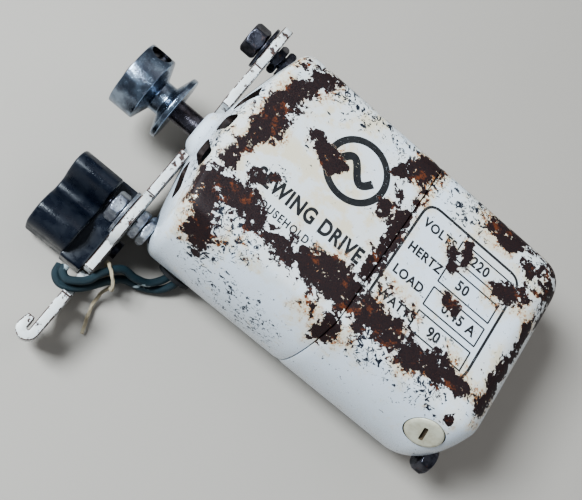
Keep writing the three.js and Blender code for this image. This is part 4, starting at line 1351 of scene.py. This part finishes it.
    def rear_rows(self, inset: float) -> np.ndarray:
        """Rows over the rear wall, its quarter-round shoulder and its flat end.

        Args:
            inset: how far inside the outer surface they run.

        Returns:
            Rows of x, round radius and flat height.
        """
        wall_x = np.linspace(-self.seam, -self.rear_length, 28)
        a = np.linspace(0, np.pi / 2, 22)[1:]
        reach = self.rear_shoulder - inset
        x = np.concatenate([wall_x, -self.rear_length - reach * np.sin(a)])
        drop = np.concatenate([0 * wall_x, reach * (1 - np.cos(a))])
        end_r = np.linspace(self.radius - self.rear_shoulder, 0.4, 12)[1:]
        end = np.full(len(end_r), 1.0)
        flat = np.concatenate([AXIS_Z - inset - drop, end * (AXIS_Z - self.rear_shoulder)])
        radius = np.concatenate([self.radius - inset - drop, end_r])
        return np.stack([np.concatenate([x, end * x[-1]]), radius, flat], axis=1)

    def rear(self) -> bpy.types.Object:
        """The rear shell, with its rounded end, spot faces and brush ports.

        Returns:
            The shell.
        """
        outer = self.rear_rows(0)
        outer[0, 1:] -= self.lip
        lip = outer[:1] + [[-0.1, self.lip * 0.6, self.lip * 0.6]]
        inner = self.rear_rows(self.wall)[::-1]
        shell = self.shell("rear_shell_skin", np.concatenate([outer[:1], lip, outer[1:], inner]))
        shell.data.materials.append(VENT_EDGE.material())
        cutters = []
        for centre in bolt_places():
            cutters.append(drill((-60, self.spot_x[1]), self.spot_radius, ENAMEL, 48, centre))
            cutters.append(drill((-60, -38), self.bolt_bore, VENT_EDGE, 32, centre))
        for side in ("left", "right"):
            port = drill((-7, 5), self.port_radius, VENT_EDGE, 56)
            aim(port, middle_of(f"brush_cap_{side}"))
            cutters.append(port)
        expose(carved(shell, cutters, sharp=40))
        line_inside(shell, -self.middle_x)
        return mounted(shell, Body.HOUSING, ENAMEL, "rear_shell")

    def build(self) -> None:
        """Makes both shells."""
        self.front()
        self.rear()


def line_inside(shell: bpy.types.Object, middle_x: float) -> None:
    """Gives the shell's inner faces the primer: those whose normal points back at its middle.

    Args:
        shell: the shell.
        middle_x: x of a point on the shaft inside it.
    """
    mesh = shell.data
    mesh.materials.append(INSIDE.material())
    count = len(mesh.polygons)
    centre, normal, index = np.empty(count * 3), np.empty(count * 3), np.empty(count, np.int32)
    mesh.polygons.foreach_get("center", centre)
    mesh.polygons.foreach_get("normal", normal)
    mesh.polygons.foreach_get("material_index", index)
    out = centre.reshape(-1, 3) - row(np.array([middle_x, 0.0, 0.0]))
    inward = (out * normal.reshape(-1, 3)).sum(1) < 0
    # inward faces take the dark primer with the painted shade inside the shell
    index[inward & (index == 0)] = len(mesh.materials) - 1
    mesh.polygons.foreach_set("material_index", index)


def aim(piece: bpy.types.Object, centre: np.ndarray) -> None:
    """Turns a piece made along X to point away from the shaft, and moves it to a centre.

    Args:
        piece: the piece.
        centre: where its origin goes, in the motor frame.
    """
    away = Vector((0.0, centre[1], centre[2])).normalized()
    along = Vector((1.0, 0.0, 0.0))
    across = away.cross(along)
    turn = Matrix((away, along, across)).transposed().to_4x4()
    to_motor = Matrix.Translation(-Vector(ORIGIN) * MM)
    back = Matrix.Translation((Vector(ORIGIN) + Vector(centre)) * MM)
    piece.data.transform(back @ turn @ to_motor)
    if turn.determinant() < 0:
        piece.data.flip_normals()


def bolt_places() -> list[tuple[float, float]]:
    """The y and z of both through bolts, from their CAD nodes."""
    return [tuple(middle_of(f"{side}_washer")[1:]) for side in ("left", "right")]


# ------------------------------------------------------------------ printing on the upper flat
@dataclass
class Printing:
    """A rating panel, two lines of plain words and an alternating-current symbol."""

    lift: float = 0.03                # underside of the ink below, and its face above, the flat
    panel: tuple[float, float, float, float] = (-2.1, -35.4, -16.4, 18.1)
    boxes: tuple[float, float] = (-15.7, -33.4)
    box_rows: tuple[tuple[float, float], ...] = ((-13.8, -8.3), (-5.8, 0.0), (2.0, 7.8), (9.8, 15.7))
    labels: tuple[str, ...] = ("VOLTS", "HERTZ", "LOAD", "WATTS")
    ratings: tuple[str, ...] = ("220", "50", "0.45 A", "90")
    label_x: float = -3.9
    rating_x: float = -20.5
    foot: float = 1.6                 # from a box's lower side to its baseline
    symbol: tuple[float, float] = (18.5, -9.0)
    ring: float = 8.6
    cap_share: float = 0.70           # a capital's height as a share of the font's size

    def band(self, name: str, path: np.ndarray, width: float, closed: bool = True) -> bpy.types.Object:
        """A flat line of even width along a path in (x, y), on the upper flat.

        Args:
            name: the object's name.
            path: rows of x and y.
            width: the line's width.
            closed: whether the last point joins the first.

        Returns:
            The new object.
        """
        along = (np.roll(path, -1, 0) - np.roll(path, 1, 0)) if closed else np.gradient(path, axis=0)
        along /= np.linalg.norm(along, axis=1, keepdims=True)
        side = np.stack([-along[:, 1], along[:, 0]], axis=1) * width / 2
        low, high = AXIS_Z - self.lift, AXIS_Z + self.lift
        section = [(path + side, low), (path + side, high), (path - side, high), (path - side, low)]
        points = np.stack([np.column_stack([flat, np.full(len(path), z)]) for flat, z in section], 1)
        return surface(name, points, INK, Ends.LOOPED if closed else Ends.CAPPED)

    def frame(self, name: str, sides: tuple[float, float, float, float], corner: float,
              width: float) -> bpy.types.Object:
        """A rectangle's outline with rounded corners.

        Args:
            name: the object's name.
            sides: both x and both y of the rectangle.
            corner: how far the corners are cut back.
            width: the line's width.

        Returns:
            The new object.
        """
        x0, x1, y0, y1 = sides
        turns = rounded([(x0, y0), (x0, y1), (x1, y1), (x1, y0)], corner, 8, True)
        ring = np.concatenate([turns, turns[:1]])
        run = np.concatenate([[0], np.cumsum(np.linalg.norm(np.diff(ring, axis=0), axis=1))])
        fine = np.unique(np.concatenate([run, np.arange(0, run[-1], 0.8)]))[:-1]
        path = np.stack([np.interp(fine, run, ring[:, side]) for side in (0, 1)], axis=1)
        return self.band(name, path, width)

    def words(self, name: str, text: str, height: float, x: float, y: float,
              spacing: float = 1.0, weight: float = 0.0, squeeze: float = 1.0) -> bpy.types.Object:
        """Lettering that reads towards -X, with its tops towards -Y.

        Args:
            name: the object's name.
            text: what it says.
            height: capital height.
            x: where the first letter starts.
            y: the baseline.
            spacing: letter spacing, 1 being the font's own.
            weight: how much every stroke is thickened.
            squeeze: how wide the letters are, as a share of the font's own width.

        Returns:
            The lettering as a mesh.
        """
        curve = bpy.data.curves.new(name, "FONT")
        curve.body = text
        curve.size = height / self.cap_share
        curve.space_character = spacing
        curve.extrude = self.lift
        curve.offset = weight
        curve.resolution_u = 5
        letters = placed(name, curve)
        mesh = evaluated(letters)
        bpy.data.objects.remove(letters)
        solid = bmesh.new()
        solid.from_mesh(mesh)
        bmesh.ops.remove_doubles(solid, verts=solid.verts, dist=0.002)
        bmesh.ops.recalc_face_normals(solid, faces=solid.faces)
        solid.to_mesh(mesh)
        solid.free()
        place = points_of(mesh)
        motor = np.stack([x - squeeze * place[:, 0], y - place[:, 1], AXIS_Z + place[:, 2]], axis=1)
        mesh.vertices.foreach_set("co", row(motor).ravel())
        mesh.update()
        mesh.materials.clear()
        mesh.materials.append(INK.material())
        return placed(name, mesh)

    def build(self) -> None:
        """Prints everything and joins it into three pieces."""
        parts = [self.frame("panel", self.panel, 4.2, 0.75)]
        for index, (low, high) in enumerate(self.box_rows):
            parts.append(self.frame(f"box_{index}", (*self.boxes, low, high), 0.1, 0.42))
            for kind, text, height, x in (("label", self.labels[index], 2.6, self.label_x),
                                          ("rating", self.ratings[index], 2.9, self.rating_x)):
                parts.append(self.words(f"{kind}_{index}", text, height, x, high - self.foot,
                                        1.12, 0.12, 0.9))
        panel = together(parts)
        words = together([
            self.words("kind_line", "SEWING DRIVE", 4.3, 38.5, 11.4, 1.1, 0.22, 0.76),
            self.words("use_line", "HOUSEHOLD SERIES", 2.2, 35.5, 16.3, 1.25, 0.07, 0.80)])
        turn = full_turn(96)
        ring = np.stack([self.symbol[0] + self.ring * np.cos(turn),
                         self.symbol[1] + self.ring * np.sin(turn)], 1)
        s = np.linspace(-1, 1, 48)
        wave = np.stack([self.symbol[0] - 5.4 * s, self.symbol[1] + 2.6 * np.sin(np.pi * s)], 1)
        sign = together([self.band("current_symbol", ring, 1.9), self.band("wave", wave, 2.2, False)])
        for piece in (panel, words, sign):
            expose(piece)
            mounted(piece, Body.HOUSING, INK)


# ------------------------------------------------------------------ bolts, bracket and connector
@dataclass
class Fastenings:
    """Both through bolts with their nuts and washers."""

    flats: float = 7.8
    thread_pitch: float = 0.7
    thread_depth: float = 0.22
    shank: float = 2.0
    tip: float = 1.65                 # radius of both ends
    nut_bore: float = 2.05
    washer: tuple[float, float] = (2.3, 6.6)      # radius of its hole and of its rim

    def threaded(self, name: str, ends_x: tuple[float, float], thread_x: tuple[float, float],
                 centre: tuple[float, float], finish: Finish) -> bpy.types.Object:
        """A bolt's shank, with a thread over one stretch of it.

        The radius is 2 less a triangle wave of depth 0.22 whose phase is x over the pitch less
        the angle, so that the ridges climb as a helix; outside the stretch it is plain.

        Args:
            name: the object's name.
            ends_x: where the two end faces stand.
            thread_x: where the thread starts and ends.
            centre: y and z of the axis.
            finish: its finish.

        Returns:
            The new object.
        """
        columns = 32
        fine = np.arange(thread_x[0], thread_x[1], self.thread_pitch / 6)
        x = np.unique(np.concatenate([np.linspace(*ends_x, 12), fine, thread_x]).round(4))
        angle = full_turn(columns)
        phase = (x[:, None] / self.thread_pitch - angle[None] / (2 * np.pi)) % 1
        inside = ((x > thread_x[0]) & (x < thread_x[1]))[:, None]
        radius = self.shank - self.thread_depth * np.abs(2 * phase - 1) * inside
        radius[[0, -1]] = self.tip
        return surface(name, about_x(x[:, None], radius, angle, centre), finish, sharp=50)

    def nut(self, node: str, centre: tuple[float, float], finish: Finish, turn: float) -> None:
        """A nut in the place of its CAD node.

        Args:
            node: the CAD node.
            centre: y and z of the axis.
            finish: its finish.
            turn: degrees that the first flat is turned by.
        """
        low, high = motor_box(node)
        made = hexagonal(f"{node}_turned", (low[0], high[0]), self.flats, self.nut_bore, centre,
                         finish, turn)
        mounted(made, Body.HOUSING, finish, node)

    def build(self) -> None:
        """Makes the left side in grey plated steel and the right side in dark steel."""
        left, right = bolt_places()
        for side, centre, finish in (("left", left, GALVANISED), ("right", right, DARK_STEEL)):
            low, high = motor_box(f"{side}_washer")
            hole, rim = self.washer
            profile = rounded([(low[0], hole), (low[0], rim), (high[0], rim), (high[0], hole)],
                              0.2, 4, True)
            washer = turned(f"{side}_washer_turned", profile, finish, 64, Ends.LOOPED, centre)
            mounted(washer, Body.HOUSING, finish, f"{side}_washer")
            self.nut(f"{side}_standoff_nut", centre, finish, 14 if side == "left" else 40)
            self.nut(f"{side}_lock_nut", centre, finish, 33 if side == "left" else 8)
        self.nut("left_clamp_nut", left, GALVANISED, 24)
        self.nut("right_rear_nut", right, DARK_STEEL, 10)
        low, high = motor_box("through_bolt_left")
        shank = self.threaded("left_bolt_turned", (low[0] + 0.6, high[0]), (high[0] - 16, high[0]),
                              left, DARK_STEEL)
        head = hexagonal("head", (low[0], low[0] + 4.0), 8.0, None, left, DARK_STEEL, 20)
        mounted(carved(shank, [head], "UNION"), Body.HOUSING, DARK_STEEL, "through_bolt_left")
        low, high = motor_box("through_bolt_right")
        shank = self.threaded("right_bolt_turned", (low[0], high[0] - 0.6), (low[0], low[0] + 14),
                              right, DARK_STEEL)
        head = hexagonal("head", (high[0] - 4.9, high[0]), 8.4, None, right, DARK_STEEL, 5)
        mounted(carved(shank, [head], "UNION"), Body.HOUSING, DARK_STEEL, "through_bolt_right")


@dataclass
class Bracket:
    """The enamelled strip that carries the motor."""

    edge: float = 0.28

    def build(self) -> None:
        """Breaks the strip's edges and bares them in runs."""
        strip = finished_copy("mounting_bracket", "bracket_strip", BRACKET, BRACKET_EDGE, self.edge)
        mounted(strip, Body.HOUSING, BRACKET, "mounting_bracket")


@dataclass
class Connector:
    """The moulded supply connector, its pins and its screws."""

    tilt: float = -6.0
    side: tuple[float, float] = (23.6, 48.2)
    bottom: float = -16.6
    base: float = 6.6
    edge: float = 0.7

    def lobes(self) -> np.ndarray:
        """The outline of (u, w): two lobes of unlike height on a square foot.

        A closed spline runs through the lobes' crests, the valley between them and the foot's
        corners, whose points stand in pairs so that the curve turns there.

        Returns:
            Rows of u and w.
        """
        left, right = self.side
        low = self.bottom
        top = [(right, -9.4), (right - 1.0, -5.2), (right - 5.6, -2.2), (right - 9.6, -3.6),
               (right - 12.4, -6.0), (right - 14.6, -5.4), (right - 16.4, -1.4),
               (right - 19.2, 1.8), (left + 2.6, 1.2), (left + 0.2, -2.6), (left, -8.0)]
        foot = [(left, low + 1.6), (left + 1.6, low), ((left + right) / 2, low), (right - 1.6, low),
                (right, low + 1.6)]
        ring = [(u, w, 0.0) for u, w in top + foot]
        return smooth_path(ring + ring[:1], 180)[:-1, :2]

    def build(self) -> None:
        """Joins lobes and base, cuts the socket and pin holes, and dresses the metal."""
        low, high = motor_box("connector_body")
        base_to = low[0] + self.base
        body = prism("connector_moulding", self.lobes(), (base_to - 0.6, high[0]), BAKELITE,
                     self.edge, self.tilt)
        left, right = self.side
        foot = rounded([(left - 1, self.bottom - 0.4), (right + 0.8, self.bottom - 0.4),
                        (right + 0.8, -7.8), (left - 1, -7.3)], 1.0, 6, True)
        base = prism("base", foot, (low[0], base_to), BAKELITE, 0.45, self.tilt)
        carved(body, [base], "UNION")
        mouth = rounded([(26, -14.4), (46, -14.4), (46, -8), (26, -8)], 0.8, 5, True)
        cutters = [prism("mouth", mouth, (high[0] - 11, high[0] + 1), BAKELITE, 0.02, self.tilt)]
        for index in (1, 2, 3):
            pin_low, pin_high = motor_box(f"connector_pin_{index}")
            centre = tuple((pin_low[1:] + pin_high[1:]) / 2)
            cutters.append(drill((base_to - 2, high[0] - 5), 1.5, BAKELITE, 24, centre))
            profile = rounded([(pin_low[0], 0.3), (pin_low[0], 1.2), (pin_high[0] - 0.6, 1.2),
                               (pin_high[0], 0.5), (pin_high[0], 0.1)], 0.25, 4)
            pin = turned(f"pin_{index}_turned", profile, BRASS, 32, centre=centre)
            mounted(pin, Body.HOUSING, BRASS, f"connector_pin_{index}")
        for index in (1, 2):
            centre = tuple(middle_of(f"connector_screw_{index}")[1:])
            cutters.append(drill((low[0] - 1, low[0] + 4.6), 1.8, BAKELITE, 24, centre))
        carved(body, cutters)
        mounted(body, Body.HOUSING, BAKELITE, "connector_body")


# ------------------------------------------------------------------ pulley end and brush gear
@dataclass
class PulleyEnd:
    """The belt pulley and the shaft."""

    radius: float = 9.65
    hub: float = 4.5
    flange: float = 1.5
    rim: float = 7.4
    slope: float = 1.9
    bore: float = 3.475
    shaft: float = 3.175

    def build(self) -> None:
        """Turns the pulley and the shaft, and drills the set screw's hole."""
        low, high = motor_box("pulley")
        near, far = low[0], high[0]
        flange, rim = near + self.flange, far - self.rim
        corners = [(near, self.bore), (near, self.radius), (flange, self.radius),
                   (flange + self.slope, self.hub), (rim - self.slope, self.hub),
                   (rim, self.radius), (far, self.radius), (far, 7.4), (far - 0.5, 6.6),
                   (far - 0.5, 4.6), (far, 4.2), (far, self.bore)]
        wheel = turned("pulley_turned", rounded(corners, 0.42, 5, True), PULLEY, 128, Ends.LOOPED)
        hole = drill((-6, 8), 3.0, DARK_STEEL, 40)
        aim(hole, middle_of("pulley_set_screw"))
        mounted(carved(wheel, [hole]), Body.ROTOR, PULLEY, "pulley")
        screw = finished_copy("pulley_set_screw", "set_screw_cut", DARK_STEEL, edge=0.12)
        mounted(screw, Body.ROTOR, DARK_STEEL, "pulley_set_screw")
        low, high = motor_box("shaft")
        profile = rounded([(low[0], 0.2), (low[0], 2.6), (low[0] + 0.6, self.shaft),
                           (high[0] - 0.6, self.shaft), (high[0], 2.6), (high[0], 0.2)], 0.2, 4)
        mounted(turned("shaft_turned", profile, SHAFT, 64), Body.ROTOR, SHAFT, "shaft")


@dataclass
class BrushCaps:
    """The slotted brush caps."""

    top: float = 35.2                 # distances from the shaft's axis
    foot: float = 29.3
    radius: float = 5.4
    plug: float = 3.6
    head: float = 1.6
    slot: tuple[float, float, float] = (0.9, 0.6, 2.6)      # depth, half width, half length
    turn: float = 20.0                # degrees the slot is turned from square to the shaft

    def build(self) -> None:
        """Turns each cap, cuts its slot and stands it on its own body."""
        for side, body in (("left", Body.LEFT_CAP), ("right", Body.RIGHT_CAP)):
            middle = middle_of(f"brush_cap_{side}")
            out = middle[1:] / np.linalg.norm(middle[1:])
            top, foot = self.top, self.foot
            profile = rounded([(foot, 0.2), (foot, self.plug), (top - self.head, self.plug),
                               (top - self.head, self.radius), (top - 0.35, self.radius),
                               (top, self.radius - 0.9), (top, 0.2)], 0.35, 5)
            profile[:, 0] -= (top + foot) / 2
            cap = turned(f"brush_cap_{side}_moulded", profile, IVORY, 72)
            depth, width, length = self.slot
            outline = rounded([(-width, -length), (width, -length), (width, length),
                               (-width, length)], 0.45, 5, True)
            reach = (top - foot) / 2
            slot = prism("slot", outline, (reach - depth, reach + 1), CAP_SLOT, 0.02, self.turn)
            cap.data.materials.append(CAP_SLOT.material())
            carved(cap, [slot])
            aim(cap, np.array([middle[0], *(out * (top + foot) / 2)]))
            mounted(cap, body, IVORY, f"brush_cap_{side}")


# ------------------------------------------------------------------ leads
LEAD_ROUTES: dict[str, tuple[Point, ...]] = {
    "motor_lead_a": (
        (21, 21.5, -11.5), (27, 22.6, -12), (33, 23.2, -12.6), (36, 24.4, -13.5),
        (37.35, 27.1, -15), (37.35, 29.95, -16.6), (37.35, 32.8, -18.2), (40.2, 37.2, -18.2),
        (44, 39.2, -16.4), (48.4, 40.2, -13.8), (51.8, 44.6, -12.6), (53.4, 48.6, -12.4),
        (55.6, 50.8, -12.4), (58.2, 52, -12.6), (60, 51, -12.6), (60.4, 49.4, -12.6)),
    "motor_lead_b": (
        (21, 21.5, -14.8), (27, 23.8, -16), (31.5, 25.2, -15.8), (34.65, 27.1, -15),
        (34.65, 29.95, -16.6), (34.65, 32.8, -18.2), (36.6, 36, -20.6), (41, 38.8, -21),
        (46.4, 41, -18.6), (49.2, 44.4, -16.4), (51.2, 47.6, -15.4), (53.4, 50.6, -15.2),
        (56, 52.6, -15.2), (59, 53.4, -15.2), (61.2, 52, -15.3), (61.8, 49.4, -15.4)),
}
TIE_ROUTE: tuple[Point, ...] = (
    (49.9, 43.7, -18.6), (52, 41.9, -17.5), (52.8, 41.1, -14.7), (52, 41.9, -11.9),
    (49.9, 43.7, -10.8), (47.8, 45.5, -11.9), (47, 46.3, -14.7), (47.8, 45.5, -17.5),
    (48.6, 47.4, -20), (48.4, 51, -21.4), (47.2, 55, -21.6), (45.6, 59, -21.7))


@dataclass
class Leads:
    """The two sleeved motor leads and the thread that ties them."""

    radius: float = 1.15
    thread: float = 0.55

    def build(self) -> None:
        """Sweeps the leads and the thread along their routes."""
        for node, route in LEAD_ROUTES.items():
            mounted(swept(f"{node}_sleeve", route, self.radius, SLEEVE, 150), Body.HOUSING, SLEEVE,
                    node)
        tie = swept("lead_tie_thread", TIE_ROUTE, self.thread, THREAD, 260, 18, 3)
        mounted(tie, Body.HOUSING, THREAD, "lead_tie")


# ------------------------------------------------------------------ pieces inside
@dataclass
class Inside:
    """Finishes of the CAD nodes that keep their own shape."""

    finishes: tuple[tuple[Finish, tuple[str, ...]], ...] = (
        (BRONZE, ("front_bearing", "rear_bearing")),
        (FELT, ("front_oil_felt",)),
        (GALVANISED, ("front_felt_washer", "brush_spring_left", "brush_spring_right")),
        (FIBRE, ("rear_thrust_washer", "brush_holder_left", "brush_holder_right")),
        (STACK, ("stator_core", "armature_core")),
        (COPPER, ("field_coil_left", "field_coil_right", "armature_winding")),
        (BARS, ("commutator",)),
        (FAN, ("cooling_fan",)),
        (CARBON, ("brush_left", "brush_right")),
        (DARK_STEEL, ("connector_screw_1", "connector_screw_2")),
        (RUBBER, ("lead_grommet", "brush_lead_left", "brush_lead_right")),
    )

    def build(self) -> None:
        """Puts a procedural material in each node's slots."""
        for finish, nodes in self.finishes:
            for node in nodes:
                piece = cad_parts[node]
                piece.data.materials.clear()
                piece.data.materials.append(finish.material())
                logging.info("%s wears %s", node, finish.name)


# ------------------------------------------------------------------ stage
@dataclass
class Stage:
    """The camera, the floor and the soft lights."""

    eye: Point = (29.9, 105.9, 247.7)             # packed frame, millimetres
    target: Point = (-3.4, 10.0, 23.2)
    roll: float = 57.46                           # degrees the camera leans about its own view
    lens: float = 55.66
    floor_half: float = 9.0                       # metres
    window_power: float = 13.5                    # watts
    room_power: float = 1.8
    sky: float = 0.26                             # strength of the pale surroundings

    def camera(self) -> None:
        """Stands the camera at the eye, looks at the target and leans it by the roll."""
        forward = (Vector(self.target) - Vector(self.eye)).normalized()
        right = forward.cross(Vector((0, 0, 1))).normalized()
        up = right.cross(forward)
        lean = math.radians(self.roll)
        leaned_up = up * math.cos(lean) - right * math.sin(lean)
        leaned_right = right * math.cos(lean) + up * math.sin(lean)
        turn = Matrix((leaned_right, leaned_up, -forward)).transposed().to_4x4()
        data = bpy.data.cameras.new("camera")
        data.lens, data.sensor_width = self.lens, 36.0
        data.clip_start, data.clip_end = 0.01, 20.0
        camera = placed("camera", data)
        camera.matrix_world = Matrix.Translation(Vector(self.eye) * MM) @ turn
        bpy.context.scene.camera = camera

    def floor(self) -> None:
        """A wide pale floor at the height that the motor rests on."""
        half = self.floor_half
        mesh = bpy.data.meshes.new("floor")
        mesh.from_pydata([(-half, -half, 0), (half, -half, 0), (half, half, 0), (-half, half, 0)],
                         [], [(0, 1, 2, 3)])
        mesh.materials.append(FLOOR.material())
        placed("floor", mesh)

    def area(self, name: str, place: Point, size: float, power: float, color: Color) -> None:
        """A square soft light that faces the motor.

        Args:
            name: the light's name.
            place: where it stands, in metres.
            size: length of its side in metres.
            power: its power in watts.
            color: its colour.
        """
        data = bpy.data.lights.new(name, "AREA")
        data.size, data.energy, data.color = size, power, color
        light = placed(name, data)
        light.location = place
        light.rotation_euler = (-Vector(place)).to_track_quat("-Z", "Y").to_euler()

    def build(self) -> None:
        """Sets the camera, floor, lights and the pale surroundings."""
        self.camera()
        self.floor()
        self.area("window", (0.50, 0.16, 0.66), 0.26, self.window_power, (0.84, 0.93, 1.0))
        self.area("room", (-0.3, -0.5, 0.8), 0.9, self.room_power, (1.0, 0.97, 0.93))
        world = bpy.data.worlds.new("surroundings")
        world.use_nodes = True
        background = world.node_tree.nodes["Background"]
        background.inputs["Color"].default_value = (0.80, 0.89, 1.0, 1)
        background.inputs["Strength"].default_value = self.sky
        bpy.context.scene.world = world
        bpy.context.scene.view_settings.look = "AgX - Medium High Contrast"


def main() -> None:
    """Builds every sub-assembly in order and writes the sizes of both models."""
    logging.basicConfig(level=logging.INFO, format="%(message)s")
    Groups.build()
    for assembly in (Stage(), Housing(), Printing(), Fastenings(), Bracket(), Connector(),
                     PulleyEnd(), BrushCaps(), Leads(), Inside()):
        logging.info("%s", type(assembly).__doc__)
        assembly.build()


if __name__ == "__main__":
    main()
